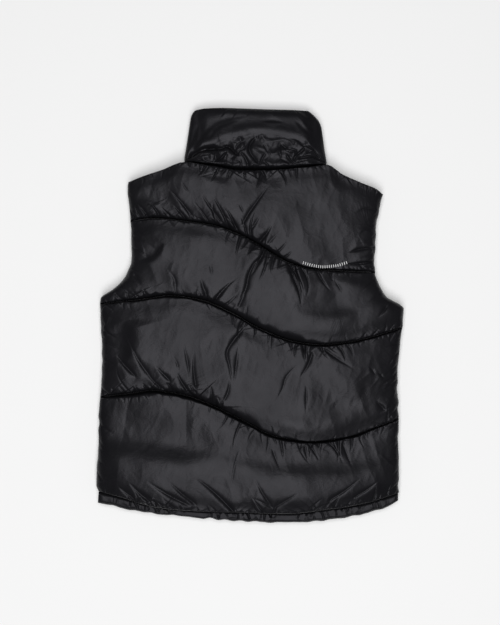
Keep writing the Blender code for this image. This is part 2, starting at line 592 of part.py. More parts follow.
def add_block(name, low, high, material, round_off=0.0, collection=None):
    """A box between two corners, with rounded edges where asked."""
    bpy.ops.mesh.primitive_cube_add(size=1.0)
    block = bpy.context.object
    block.name = block.data.name = name
    size = np.subtract(high, low)
    centre = np.add(high, low) / 2
    for vertex in block.data.vertices:
        vertex.co = np.array(vertex.co) * size + centre
    block.data.materials.append(material)
    for owner in list(block.users_collection):
        owner.objects.unlink(block)
    (collection or vest_collection).objects.link(block)
    if round_off:
        bevel = block.modifiers.new("rounded_edges", "BEVEL")
        bevel.width = round_off
        bevel.segments = 2
        bevel.limit_method = "ANGLE"
    return block


def add_rod(name, radius, half_width, centre, material):
    """A cylinder along X, kept with the cutters."""
    bpy.ops.mesh.primitive_cylinder_add(vertices=24, radius=radius, depth=2 * half_width)
    rod = bpy.context.object
    rod.name = rod.data.name = name
    for vertex in rod.data.vertices:
        across, up, along = vertex.co
        vertex.co = (along + centre[0], across + centre[1], up + centre[2])
    rod.data.materials.append(material)
    for owner in list(rod.users_collection):
        owner.objects.unlink(rod)
    cutter_collection.objects.link(rod)
    return rod


def combine(piece, tools, operation):
    """Join tools to a piece, or cut them from it, and hide the tools."""
    for tool in tools:
        boolean = piece.modifiers.new(tool.name, "BOOLEAN")
        boolean.operation = operation
        boolean.object = tool
        tool.hide_render = True
        tool.display_type = "WIRE"


def zip_block(name, half_width, low_y, high_y, thickness, round_off=0.0):
    """A box in the zip, centred on its middle line and level."""
    low = (-half_width, low_y, ZIP_LEVEL - thickness / 2)
    high = (half_width, high_y, ZIP_LEVEL + thickness / 2)
    return add_block(name, low, high, ZIP_PLASTIC, round_off)


for side, tape_name in ((-1, "zip_tape_left"), (1, "zip_tape_right")):
    near, far = sorted((side * TAPE_INNER, side * TAPE_OUTER))
    add_block(
        tape_name,
        (near, ZIP_BOTTOM, ZIP_LEVEL - TAPE_THICKNESS / 2),
        (far, ZIP_TOP + 0.009, ZIP_LEVEL + TAPE_THICKNESS / 2),
        ZIP_TAPE,
    )

BOX_TOP = ZIP_BOTTOM + BOX_LENGTH
zip_block("zip_box", CHAIN_HALF_WIDTH, ZIP_BOTTOM, BOX_TOP, BOX_THICKNESS, round_off=0.0006)
zip_block("zip_teeth", CHAIN_HALF_WIDTH, BOX_TOP + SEAM_GAP, ZIP_TOP, CHAIN_THICKNESS)


def add_slider():
    """Zip slider: two wings over and under the chain, joined by a post, with a pin for its pull."""
    lower_wing = add_block(
        "zip_slider",
        (-SLIDER_HALF_WIDTH, SLIDER_LOW_Y, LOWER_WING_LOW),
        (SLIDER_HALF_WIDTH, SLIDER_HIGH_Y, LOWER_WING_HIGH),
        ZIP_METAL,
    )
    upper_wing = add_block(
        "slider_upper_wing",
        (-SLIDER_HALF_WIDTH, SLIDER_LOW_Y, UPPER_WING_LOW),
        (SLIDER_HALF_WIDTH, SLIDER_HIGH_Y, UPPER_WING_LOW + WING_THICKNESS),
        ZIP_METAL, collection=cutter_collection,
    )
    post = add_block(
        "slider_post",
        (-0.0018, ZIP_TOP + WING_CLEARANCE, LOWER_WING_HIGH - 0.0005),
        (0.0018, ZIP_TOP + 0.0045, UPPER_WING_LOW + 0.0005),
        ZIP_METAL, collection=cutter_collection,
    )
    lugs = [
        add_block(
            f"slider_lug_{number}",
            (min(side * LUG_INNER, side * LUG_OUTER), PIN_Y - 0.0018, PIN_Z - 0.0016),
            (max(side * LUG_INNER, side * LUG_OUTER), PIN_Y + 0.0018, LOWER_WING_LOW + 0.0005),
            ZIP_METAL, collection=cutter_collection,
        )
        for number, side in enumerate((-1, 1))
    ]
    pin = add_rod("slider_pin", PIN_RADIUS, LUG_INNER + 0.0005, (0.0, PIN_Y, PIN_Z), ZIP_METAL)
    combine(lower_wing, [upper_wing, post, *lugs, pin], "UNION")


def add_pull():
    """Pull tab: an eye round the slider's pin and a flat tab, hung from an empty on the pin's axis."""
    axis = bpy.data.objects.new("pull_axis", None)
    axis.location = (0.0, PIN_Y, PIN_Z)
    axis.rotation_euler = (radians(PULL_DROP), 0.0, 0.0)
    vest_collection.objects.link(axis)
    eye = add_rod("pull_eye", EYE_RADIUS, EYE_HALF_WIDTH, (0.0, 0.0, 0.0), ZIP_METAL)
    hole = add_rod("pull_eye_hole", EYE_HOLE_RADIUS, EYE_HALF_WIDTH + 0.001, (0.0, 0.0, 0.0), ZIP_METAL)
    neck = add_block(
        "pull_neck",
        (-EYE_HALF_WIDTH + 0.0002, -0.0060, -PULL_THICKNESS / 2),
        (EYE_HALF_WIDTH - 0.0002, -0.0012, PULL_THICKNESS / 2),
        ZIP_METAL, collection=cutter_collection,
    )
    tab = add_block(
        "zip_pull",
        (-PULL_HALF_WIDTH, -PULL_LENGTH, -PULL_THICKNESS / 2),
        (PULL_HALF_WIDTH, -0.0045, PULL_THICKNESS / 2),
        ZIP_METAL, round_off=0.0005,
    )
    for hung in (eye, hole, neck, tab):
        hung.parent = axis
    combine(tab, [neck, eye], "UNION")
    combine(tab, [hole], "DIFFERENCE")


add_slider()
add_pull()
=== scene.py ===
"""Puffer vest with a funnel collar, laid flat on its front with the back up.

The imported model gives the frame: +X to the wearer's right, +Y from hem to collar, +Z up from the floor.
The sections follow the vest as it is sewn together. Lengths are in metres, but in millimetres in the rows
of tables that points_at, gathers_of and creases_of read.
"""
from collections import namedtuple
from math import pi

import bmesh
import bpy
import numpy as np
from mathutils.geometry import tessellate_polygon
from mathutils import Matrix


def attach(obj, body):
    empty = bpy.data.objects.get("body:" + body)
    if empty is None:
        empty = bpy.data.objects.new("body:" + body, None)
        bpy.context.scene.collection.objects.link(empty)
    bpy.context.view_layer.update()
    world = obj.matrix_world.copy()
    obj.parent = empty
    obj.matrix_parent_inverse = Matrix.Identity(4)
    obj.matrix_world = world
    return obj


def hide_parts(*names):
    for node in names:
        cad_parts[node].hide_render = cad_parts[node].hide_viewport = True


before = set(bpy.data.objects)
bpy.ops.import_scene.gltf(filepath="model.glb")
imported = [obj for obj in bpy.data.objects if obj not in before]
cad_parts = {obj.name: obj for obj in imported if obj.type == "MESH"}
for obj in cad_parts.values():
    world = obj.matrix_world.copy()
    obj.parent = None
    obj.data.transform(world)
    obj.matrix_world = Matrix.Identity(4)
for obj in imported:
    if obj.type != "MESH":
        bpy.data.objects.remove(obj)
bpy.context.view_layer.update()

# ---------------------------------------------------------------- back panels
# Four padded panels of glossy black down-proof nylon, quilted along three wave-shaped seams. Each is cut
# longer than its seams are, so the cloth gathers into small folds where it is sewn down and pulls into
# creases between them. Blown up over its filling, it lies on the inner side of the two fronts.

FRONT_TOP = 0.0240            # inner face of the fronts
BACK_BASE = FRONT_TOP + 0.0003
SEAM_GAP = 0.0003             # between neighbouring pieces
SEAM_THICKNESS = 0.0045       # padded wall where it is sewn down
SIDE_ROUNDING = 0.075         # how far in from its sides a panel still swells
SEAM_ALLOWANCE = 0.0008       # flat cloth on each side of a seam
CLOTH_STEP = 0.0024           # spacing of the cloth's grid while it settles
CHANNEL_WIDTH = 0.17          # from seam to seam, about
LEAST_PANEL = 0.0040          # thickness that no crease goes below
CREASE_STRENGTH = 1.5         # of the creases in the table
GATHER_STRENGTH = 1.25        # of the small folds along seams and sides
DEEPEST_CREASE = 0.0070
CREASE_END = 0.003            # how far past its path a crease dies away
FOLD_SHARES = (0.0, 0.35, 0.7, 1.0)  # where along a small fold its path is given
PRESSURE = 2.5e-6             # of the filling, while the cloth settles
STIFFNESS = 0.004             # against bending
DAMPING = 0.97                # share of its motion that the cloth keeps
CORRECTIONS = 6               # of the cloth's lengths in each step
WEAVE_DEPTH = 0.000004

Point = namedtuple("Point", "x y")
Panel = namedtuple("Panel", "name lower upper puff")
Gather = namedtuple("Gather", "x amount reach lean")
Crease = namedtuple("Crease", "path height width start end")


def metres(*lengths):
    """Lengths in metres, from millimetres."""
    return tuple(round(length / 1000, 6) for length in lengths)


def points_at(*places):
    """Points in metres, from pairs of x and y in millimetres."""
    return tuple(Point(*metres(*place)) for place in places)


def gathers_of(*rows):
    """Gathers, from rows of x, extra cloth in percent, reach and lean. Lengths are in millimetres."""
    return tuple(Gather(*metres(x), extra / 100, *metres(reach), lean) for x, extra, reach, lean in rows)


def creases_of(*rows):
    """Creases, from rows of height, width, start, end and the path's points. Lengths are in millimetres."""
    return tuple(
        Crease(points_at(*path), *metres(height, width), start, end)
        for height, width, start, end, *path in rows
    )


LEFT_EDGE = points_at(
    (-285, -349.7), (-283.1, -329.1), (-288.1, -318), (-284, -244), (-282, -177), (-279.8, -152.4),
    (-277, -65), (-279.4, 21.6), (-279, 31.9), (-258.8, 46.9), (-241.9, 62.8), (-229.5, 81.6),
    (-222.6, 100.3), (-221.3, 122.8), (-224.1, 176.3), (-228.8, 242.8), (-227.5, 249.8),
)
RIGHT_EDGE = points_at(
    (277.5, -346.9), (278.1, -331.9), (277.5, -267.2), (278.1, -192.2), (275.6, -113.4), (279.4, -64.7),
    (285, -23.4), (288.4, 13.1), (283.1, 19.3), (255, 35.6), (241.1, 59.1), (233.1, 80.6), (234.4, 126.6),
    (238.1, 179.1), (246.4, 216.6), (248, 226.5),
)
SEAMS = {
    "bottom": points_at(
        (-285, -349.7), (-251.3, -357.8), (-196.9, -368.8), (-138.8, -375.2), (-76.9, -380.3),
        (-18.8, -385.7), (65.6, -388), (161.3, -381.2), (218.6, -369.9), (258.8, -358.3), (277.5, -346.9),
    ),
    "hem": points_at(
        (-283.1, -329.1), (-233.3, -340.9), (-176.3, -357.2), (-99.4, -364.7), (-9.4, -367.3),
        (67.5, -369.4), (153.8, -360.6), (210, -351.6), (278.1, -331.9),
    ),
    "wave_3": points_at(
        (-279.8, -152.4), (-213.8, -144.4), (-185.6, -140.3), (-127.5, -147.8), (-71.3, -167.8),
        (-9.4, -198.4), (48.8, -225.9), (116.3, -234.9), (181.9, -226.5), (239.4, -206.8), (278.1, -192.2),
    ),
    "wave_2": points_at(
        (-279.4, 21.6), (-195, 30.9), (-150, 36.8), (-93.8, 29.4), (-31.9, 3.8), (6.8, -18.8),
        (43.1, -35.6), (82.5, -48.9), (135, -54.8), (181.9, -50.3), (285, -23.4),
    ),
    "wave_1": points_at(
        (-224.1, 176.3), (-180, 181.5), (-103.1, 173.8), (-65.6, 167.8), (-24.8, 152.8), (13.1, 133.1),
        (50.6, 109.7), (80.6, 95.1), (114.4, 86.3), (155.6, 84.4), (233.1, 80.6),
    ),
    "shoulder": points_at(
        (-227.5, 249.8), (-208.1, 257.8), (-163.1, 272.8), (-121.9, 286.5), (-75, 280.8), (-18.8, 272.4),
        (37.5, 272.1), (99.4, 276.9), (142.5, 282), (170.6, 265.3), (203.6, 250.3), (236.3, 236.6),
        (248, 226.5),
    ),
}
NECK_LEFT, NECK_RIGHT = -0.1219, 0.1425       # where the shoulders meet the collar

BACK_PANELS = (
    Panel("back_hem_panel", "hem", "wave_3", 0.031),
    Panel("back_lower", "wave_3", "wave_2", 0.032),
    Panel("back_upper", "wave_2", "wave_1", 0.030),
    Panel("back_yoke", "wave_1", "shoulder", 0.026),
)

# Gathers at each panel's lower and upper seam, from left to right: x, how much longer the cloth is than the
# seam in percent, how far the folds reach into the panel, and how far they lean to the right as they leave
# the seam.
GATHERS = {
    ("back_yoke", 0): gathers_of(
        (-224, 16, 15, -0.5), (-187, 13, 14, -0.6), (-131, 13, 16, -0.8), (-112, 15, 28, -0.85),
        (-28, 16, 30, -0.7), (0, 14, 30, -0.2), (22, 12, 26, 0.6), (56, 7, 16, 0.8), (94, 2, 9, 0.5),
        (170, 2, 9, 0), (216, 10, 15, -0.5), (233, 10, 15, -0.5),
    ),
    ("back_yoke", 1): gathers_of(
        (-228, 2, 8, 0), (-130, 5, 10, -0.2), (-40, 12, 16, -0.4), (20, 14, 18, 0.1), (60, 10, 14, 0.4),
        (140, 4, 10, 0.5), (248, 2, 8, 0),
    ),
    ("back_upper", 0): gathers_of(
        (-279, 15, 22, -0.8), (-216, 14, 18, -0.8), (-187, 9, 12, -0.6), (-140, 7, 12, -0.5),
        (-94, 8, 20, -0.2), (-66, 12, 28, 0.8), (-19, 8, 18, 0.5), (10, 4, 10, 0.3), (150, 2, 8, 0),
        (253, 6, 15, 0.6), (285, 8, 16, 0.6),
    ),
    ("back_upper", 1): gathers_of(
        (-219, 6, 10, 0.3), (-187, 4, 8, 0.3), (-140, 5, 9, 0.6), (-94, 3, 8, 0.5), (-28, 6, 14, -0.3),
        (-9, 13, 28, -0.5), (22, 15, 34, -0.3), (66, 13, 30, 0.25), (94, 12, 26, 0.3), (131, 8, 18, 0.3),
        (178, 5, 12, 0.4), (229, 5, 12, 0.2),
    ),
    ("back_lower", 0): gathers_of(
        (-280, 12, 16, -0.9), (-247, 15, 22, -0.9), (-197, 17, 26, -0.75), (-140, 18, 26, -0.5),
        (-94, 18, 26, -0.25), (-52, 15, 20, -0.1), (-28, 9, 18, 0.2), (0, 5, 11, 0.3), (75, 3, 8, 0.3),
        (190, 2, 8, 0), (253, 7, 15, 0.5), (278, 8, 16, 0.5),
    ),
    ("back_lower", 1): gathers_of(
        (-280, 7, 14, 0.5), (-240, 5, 12, 0.5), (-197, 1, 8, 0.3), (-50, 2, 8, 0.2), (-19, 11, 26, -0.5),
        (19, 5, 12, -0.1), (56, 6, 14, 0.2), (94, 11, 24, 0.2), (112, 14, 32, -0.4), (135, 12, 30, 1.2),
        (160, 7, 18, 0.5), (190, 6, 13, 0), (234, 4, 10, 0.3), (285, 11, 22, -0.5),
    ),
    ("back_hem_panel", 0): gathers_of(
        (-283, 4, 10, -0.5), (-238, 5, 12, -0.6), (-222, 13, 16, -0.6), (-178, 14, 18, -0.6),
        (-131, 7, 16, -0.8), (-94, 3, 10, -0.9), (-19, 4, 12, -0.6), (19, 7, 20, -0.5), (43, 8, 22, 0.2),
        (75, 5, 16, 0.8), (131, 8, 18, 0.9), (206, 8, 18, 0.7), (278, 5, 12, 0.5),
    ),
    ("back_hem_panel", 1): gathers_of(
        (-280, 5, 12, 0.3), (-225, 3, 10, 0.2), (-187, 6, 10, 0.3), (-140, 2, 8, 0.3), (-56, 3, 10, -0.3),
        (-19, 6, 22, -0.4), (38, 7, 24, 0.3), (94, 9, 20, 0.2), (140, 9, 22, 0.3), (178, 7, 18, 0.3),
        (216, 4, 10, 0.3), (278, 6, 14, -0.5),
    ),
}

# Main creases of each panel: a valley along a path, with a crest beside it. A row gives height, width, the
# shares of the path over which the crease fades in and out, and the path. With a positive height the higher
# crest is on the right hand of someone who walks along the path, and with a negative one on the left.
CREASES = {
    "back_yoke": creases_of(
        (2.6, 3.8, 0.68, 0.15, (-150, 235), (-128, 210), (-104, 181)),
        (1.4, 3.2, 0.68, 0.68, (-127.5, 248), (-120, 236), (-112.5, 227)),
        (2.8, 4, 0.68, 0.12, (-90, 225), (-72, 198), (-51, 170)),
        (2.4, 3.4, 0.59, 0.15, (-39, 189), (-31, 172), (-22, 157)),
        (1.4, 3, 0.68, 0.68, (-21, 208), (-16, 198), (-11, 188)),
        (-2.8, 4.2, 0.59, 0.15, (34, 240), (14, 212), (-3, 188), (-16, 164)),
        (2.2, 3.8, 0.15, 0.68, (22.5, 266), (18, 250), (12, 236)),
        (-1.8, 3.2, 0.59, 0.25, (19, 185), (9, 169), (-1, 155)),
        (-2.6, 3.6, 0.59, 0.12, (41, 168), (30, 150), (19, 134)),
        (-1.4, 3.4, 0.68, 0.2, (55.5, 155), (44, 144), (32, 132)),
        (1.6, 3.2, 0.68, 0.15, (-165, 198), (-157, 190), (-149, 183)),
        (3.4, 3.4, 0.1, 0.3, (235, 128.5), (217, 125), (201, 122.5), (185, 117)),
        (1.6, 4, 0.1, 0.68, (233, 122), (222, 112), (205, 107)),
        (1.6, 3.4, 0.25, 0.68, (-37, 268.5), (-65, 264), (-94, 257)),
        (4, 2.6, 0.02, 0.5, (235, 103.5), (218, 99), (198, 96.5), (175, 95)),
        (1.6, 2, 0.1, 0.4, (234.5, 90.5), (220, 92.5), (205, 90.5)),
        (1.8, 4.6, 0.1, 0.6, (237, 196), (218, 199), (196, 190)),
        (1.8, 4.2, 0.1, 0.6, (235.5, 160), (220, 161), (203, 151)),
    ),
    "back_upper": creases_of(
        (-1.6, 6, 0.68, 0.68, (-159, 135), (-173, 117), (-191, 98)),
        (1.8, 3.4, 0.68, 0.25, (-152, 85), (-140.5, 68), (-137.6, 48)),
        (2.6, 3.6, 0.59, 0.1, (-92, 70), (-87, 53), (-81, 36)),
        (1.4, 3.2, 0.68, 0.68, (-75, 97), (-72, 84), (-69, 72)),
        (2.6, 3.6, 0.59, 0.1, (-36, 59), (-52, 42), (-67, 24)),
        (3.4, 4.2, 0.12, 0.25, (25.5, 111), (9, 97), (-2, 76), (-7.5, 52), (-19, 29)),
        (-1.6, 3.6, 0.68, 0.2, (19, 91), (35, 100), (49, 108)),
        (3.2, 4, 0.12, 0.51, (69, 93), (82.5, 66), (91, 43), (95, 20)),
        (1.6, 3.8, 0.59, 0.68, (156, 67), (164, 54), (172.5, 40)),
        (2, 3.4, 0.51, 0.15, (-6, 50), (-14, 31), (-23, 13)),
        (1.8, 3.4, 0.2, 0.25, (-253, 44), (-245, 35), (-236, 27)),
        (1.8, 3.2, 0.25, 0.2, (-232.5, 48), (-223, 40), (-214, 33)),
        (1.8, 3.6, 0.2, 0.68, (-217.5, 80), (-209, 66), (-201, 53)),
        (-2.2, 4.2, 0.25, 0.59, (257, 21.6), (248, 8), (238, -3)),
    ),
    "back_lower": creases_of(
        (3.2, 4.2, 0.1, 0.77, (-10, -22), (-30, -45), (-42.5, -67), (-38, -95), (-32, -130)),
        (1.8, 4, 0.51, 0.51, (-22, -57), (-26, -92), (-30, -127)),
        (1.8, 3.4, 0.59, 0.1, (-38, -115), (-40, -138), (-49, -159)),
        (3.2, 4, 0.1, 0.68, (115.5, -67), (107, -91), (92, -115)),
        (2.2, 3.2, 0.15, 0.51, (99, -57), (102, -66), (105, -74)),
        (2, 3.4, 0.51, 0.68, (104, -128), (103.5, -154), (103, -181)),
        (1.8, 4, 0.51, 0.68, (90, -89), (66, -115), (60, -134), (45, -162)),
        (3.2, 3.8, 0.08, 0.85, (135, -61), (165, -82), (194, -100)),
        (1.8, 3.2, 0.51, 0.51, (221, -95), (227, -102), (232.5, -110)),
        (1.6, 3.2, 0.51, 0.51, (236, -106), (243, -111), (249, -117)),
        (3, 4.4, 0.25, 0.25, (-247.5, -74), (-229, -96), (-210, -115)),
        (2, 4.4, 0.59, 0.25, (-229, -38), (-202.5, -89), (-176, -125)),
        (1.8, 4, 0.2, 0.59, (-272, -78), (-261, -85), (-251, -90)),
        (2.2, 3.2, 0.59, 0.1, (-190, -110), (-176, -124), (-161, -138)),
        (2.6, 3.4, 0.59, 0.2, (-176, -93), (-161, -108), (-146, -123)),
        (1.4, 3.4, 0.68, 0.59, (-141, -76), (-135, -89), (-131, -102)),
        (1.8, 3.8, 0.68, 0.51, (-123, -50), (-116, -85), (-111, -119)),
        (2.6, 3.6, 0.68, 0.12, (-103, -65), (-104, -102), (-99, -138)),
        (2.2, 3, 0.51, 0.12, (-112, -126), (-106, -136), (-99, -145)),
        (-3, 6, 0.51, 0.25, (234, -158), (243, -168), (253, -177)),
    ),
    "back_hem_panel": creases_of(
        (3.4, 4.6, 0.51, 0.08, (-99, -299), (-62, -331), (-28, -366)),
        (3.2, 4.4, 0.59, 0.12, (-190, -306), (-150, -332), (-110, -353)),
        (3.2, 4.4, 0.59, 0.12, (-224, -308), (-205, -328), (-182, -347)),
        (2.6, 4, 0.59, 0.12, (-150, -306), (-126, -329), (-98, -352)),
        (2.6, 3.6, 0.59, 0.12, (-245, -315), (-230, -328), (-213, -340)),
        (-2.2, 3.6, 0.59, 0.12, (205, -300), (178, -322), (142, -345)),
        (-2.2, 3.6, 0.59, 0.12, (238, -306), (216, -323), (190, -338)),
        (1, 3, 0.59, 0.59, (-19, -245), (-28, -275), (-36, -318)),
        (1.4, 3.6, 0.2, 0.77, (40, -245), (48, -266), (56, -286)),
        (1.8, 3.4, 0.12, 0.68, (101, -239), (104, -256), (107, -272)),
        (1.8, 3.6, 0.12, 0.68, (171, -233), (178, -254), (189, -282)),
        (2, 4.2, 0.68, 0.15, (7.5, -299), (24, -329), (42, -356)),
        (1.6, 3.6, 0.68, 0.15, (5.6, -337), (26, -347), (44, -357)),
        (-1.8, 4.2, 0.68, 0.15, (90, -327), (66, -342), (44, -356)),
    ),
}

# Broad swells, given as creases are: a long low bank with a trough on one side and a crest on the other.
SWELLS = {
    "back_hem_panel": creases_of(
        (11.2, 29, 0.25, 0.3, (-305, -238), (-206, -252), (-131, -258), (-38, -256)),
        (7.2, 24, 0.25, 0.22, (-60, -262), (38, -281), (131, -288), (206, -280), (310, -258)),
    ),
    "back_lower": creases_of(
        (3, 16, 0.3, 0.3, (30, -180), (94, -192), (160, -186), (215, -165)),
        (-2.6, 18, 0.3, 0.3, (120, -105), (160, -130), (200, -160)),
        (-4, 14, 0.2, 0.3, (-230, -10), (-222, -50), (-240, -90)),
    ),
    "back_upper": creases_of(
        (3, 15, 0.3, 0.3, (80, 12), (140, 0), (200, 6)),
        (3, 6, 0.3, 0.3, (-207, 100), (-188, 103.5), (-172, 116), (-160, 134)),
        (-3, 16, 0.3, 0.3, (150, 70), (185, 45), (230, 40)),
    ),
    "back_yoke": creases_of(
        (3, 12, 0.3, 0.3, (-215, 215), (-175, 206), (-130, 196)),
        (-1.6, 5, 0.4, 0.3, (-83, 258), (-50, 264), (-28, 270)),
    ),
}

# How far from a seam its panel keeps climbing, where that isn't the usual short way: x and distance.
BANKS = {
    ("back_hem_panel", 1): points_at((-280, 4), (-190, 5), (-120, 3), (-80, 2), (270, 2)),
    ("back_lower", 0): points_at((-280, 4), (-120, 7), (-70, 13), (-10, 13), (50, 5), (90, 2), (270, 2)),
    ("back_upper", 0): points_at(
        (-280, 4), (-120, 7), (-30, 15), (60, 15), (120, 6), (160, 3), (280, 3),
    ),
    ("back_yoke", 0): points_at(
        (-230, 3), (-120, 4), (-30, 10), (40, 10), (80, 5), (100, 1.6), (170, 1.6), (190, 4), (230, 4),
    ),
    ("back_yoke", 1): points_at((-230, 2), (-100, 1.5), (-60, 2.5), (50, 2.5), (80, 1.5), (250, 2)),
}
USUAL_BANK = 0.0022


def cubic(value, slope, place, step, t):
    """Cubic from one known value to the next, a step further on, with the slope given at both.

    It is the sum of the two values and the two slopes, each times its own cubic of t, which runs from 0 to 1.
    """
    return (
        value[place] * (1 + 2 * t) * (1 - t) ** 2 + slope[place] * step * t * (1 - t) ** 2
        + value[place + 1] * t ** 2 * (3 - 2 * t) - slope[place + 1] * step * t ** 2 * (1 - t)
    )


def through(points, at, along="x"):
    """Read a smooth curve through the points, with no overshoot between them.

    The curve is a monotone cubic: its slope at each point is the harmonic mean of the two chord slopes
    beside it, and zero at a peak. along="x" gives y at the given x, and along="y" gives x at the given y.
    """
    table = np.array(points, dtype=float)
    known, value = (table[:, 0], table[:, 1]) if along == "x" else (table[:, 1], table[:, 0])
    step = np.diff(known)
    chord = np.diff(value) / step
    slope = np.zeros_like(value)
    before, after = chord[:-1], chord[1:]
    rising = before * after > 0
    slope[1:-1][rising] = 2 * before[rising] * after[rising] / (before[rising] + after[rising])
    slope[0], slope[-1] = chord[0], chord[-1]
    place = np.clip(np.searchsorted(known, at) - 1, 0, len(step) - 1)
    return cubic(value, slope, place, step[place], (at - known[place]) / step[place])


def moved_across(x, y, distance):
    """Move a curve sideways by a distance, up for a positive one, and keep its x."""
    return y + distance * np.hypot(1, np.gradient(y, x))


def coons_patch(lower, upper, left, right, across, up):
    """Fill four edge curves with a grid: the straight blend of lower and upper, pulled to both sides."""
    u, v = across[None, :, None], up[:, None, None]
    ruled = (1 - v) * lower[None] + v * upper[None]
    return ruled + (1 - u) * (left[:, None] - ruled[:, :1]) + u * (right[:, None] - ruled[:, -1:])


def side_points(edge, low_y, high_y, up):
    """Points of a side edge between two heights. The edge is a little wavy, as the folds pull it in."""
    y = low_y + (high_y - low_y) * up
    return np.column_stack([through(edge, y, along="y") + 0.0013 * wandering(y, 0.013, len(edge)), y])


def shoulder_of(distance, reach):
    """Quarter circle that rises from 0 at an edge to 1 at the given reach."""
    inside = 1 - np.clip(distance / reach, 0, 1)
    return np.sqrt(1 - inside ** 2)


def even_steps(width, height, profile, step=CLOTH_STEP):
    """Shares from 0 to 1 that are evenly spaced along a profile's own length, about a step apart."""
    t = np.linspace(0, 1, 4001)
    run = np.concatenate([[0], np.cumsum(np.hypot(np.diff(t) * width, np.diff(height * profile(t))))])
    return np.interp(np.linspace(0, 1, int(run[-1] / step)), run / run[-1], t)


def eased(t):
    """S-shaped blend from 0 at 0 to 1 at 1, level at both ends."""
    return t * t * (3 - 2 * t)


def wandering(at, spacing, seed):
    """Smooth random curve between -1 and 1: random heights at even places, joined by an S-shaped blend."""
    heights = np.random.default_rng(seed).uniform(-1, 1, int(1.6 / spacing) + 4)
    place = (np.clip(at, -0.75, 0.75) + 0.76) / spacing
    first = np.floor(place).astype(int)
    t = eased(place - first)
    return heights[first] * (1 - t) + heights[first + 1] * t


def cloud(x, y, spacing, seed):
    """Smooth random relief between -1 and 1: random heights on a square net, with S-shaped blends between."""
    size = int(1.7 / spacing) + 5
    heights = np.random.default_rng(seed).uniform(-1, 1, (size, size))
    across, up = (np.clip(at, -0.8, 0.8) / spacing + size / 2 for at in (x, y))
    i, j = np.floor(across).astype(int), np.floor(up).astype(int)
    s, t = eased(across - i), eased(up - j)
    low = heights[j, i] * (1 - s) + heights[j, i + 1] * s
    high = heights[j + 1, i] * (1 - s) + heights[j + 1, i + 1] * s
    return low * (1 - t) + high * t


def ridges(x, y, spacing, seed):
    """Creased relief between -0.5 and 0.5: a cloud that is folded at its zero level into sharp crests."""
    return 0.5 - np.abs(cloud(x, y, spacing, seed))


def sewn_edge(x, distance, rows, banks, seed, soft=0.10):
    """How a padded panel rises beside a seam, from 0 to 1, and the extra cloth that is gathered there.

    It rises as a quarter circle, and a soft share of it more gently. The extra cloth is a tensor (xx, xy, yy)
    that stretches across the folds.
    """
    table, banks = np.array(rows), np.array(banks)
    amount, length, lean = (np.interp(x, table[:, 0], table[:, column]) for column in (1, 2, 3))
    bank = np.interp(x, banks[:, 0], banks[:, 1]) * (1 + 0.5 * wandering(x - lean * distance, 0.012, seed))
    run = np.clip((distance - SEAM_ALLOWANCE) / bank, 0, 1)
    share = 0.05 * amount * np.exp(-(distance / (2 * length)) ** 2)
    turn = np.hypot(1, lean)
    nx, ny = 1 / turn, -lean / turn
    gentle = 1 - (1 - np.clip(distance / 0.030, 0, 1)) ** 2
    rise = (1 - soft) * np.sqrt(1 - (1 - run) ** 2) + soft * gentle
    return rise, (share * nx * nx, share * nx * ny, share * ny * ny)


def drawn_creases(ends, height, width, start, end, kept):
    """The kept ones of a set of creases. ends has, for each share of the path, x and y of all the creases."""
    return [Crease(tuple((x[i], y[i]) for x, y in ends), height[i], width[i], start, end) for i in kept]


def sewn_creases(seam, rows, side, seed):
    """The folds that gathered stitches leave along a seam: each is deepest there and tapers to a point.

    Their places, lengths and leans wander round what the table says. side is 1 above the seam, -1 below it.
    """
    draw = np.random.default_rng(seed)
    table = np.array(rows)
    x = seam[0].x + 0.003 + np.cumsum(draw.uniform(0.0060, 0.0150, 100))
    x = x[x < seam[-1].x - 0.003]
    amount, reach, lean = (np.interp(x, table[:, 0], table[:, column]) for column in (1, 2, 3))
    strength = amount / 0.12 * draw.uniform(0.3, 1.3, len(x))
    length = reach * (0.5 + 2.0 * draw.random(len(x)) ** 2.0)
    lean = lean + draw.uniform(-0.5, 0.5, len(x))
    bend = draw.uniform(-0.16, 0.16, len(x)) * length
    turn, foot = np.hypot(1, lean), through(seam, x)
    ends = [
        (
            x + (k * length * lean + 4 * k * (1 - k) * bend) / turn,
            foot + side * (SEAM_ALLOWANCE + k * length / turn),
        )
        for k in FOLD_SHARES
    ]
    height = (0.0006 + 0.0046 * strength) * draw.choice([-1, 1], len(x))
    width = 0.0012 + 0.0019 * strength * draw.uniform(0.6, 1.4, len(x))
    return drawn_creases(ends, height, width, 0.01, 1.0, np.flatnonzero(strength > 0.15))


def side_creases(edge, low_y, high_y, seed):
    """Folds that run in from a side seam and fall a little: longer, softer and further apart."""
    draw = np.random.default_rng(seed)
    y = low_y + np.cumsum(draw.uniform(0.008, 0.024, 30))
    y = y[y < high_y - 0.004]
    x = through(edge, y, along="y")
    inward = -np.sign(x[0]) if len(x) else 1
    length, fall = draw.uniform(0.010, 0.045, len(y)), draw.uniform(0.2, 1.3, len(y))
    bend = draw.uniform(-0.12, 0.12, len(y)) * length
    turn = np.hypot(1, fall)
    ends = [
        (x + inward * (0.001 + k * length / turn), y - (k * length * fall + 4 * k * (1 - k) * bend) / turn)
        for k in FOLD_SHARES
    ]
    height, width = draw.uniform(-0.0026, 0.0026, len(y)), draw.uniform(0.0018, 0.0036, len(y))
    return drawn_creases(ends, height, width, 0.05, 0.9, range(len(y)))


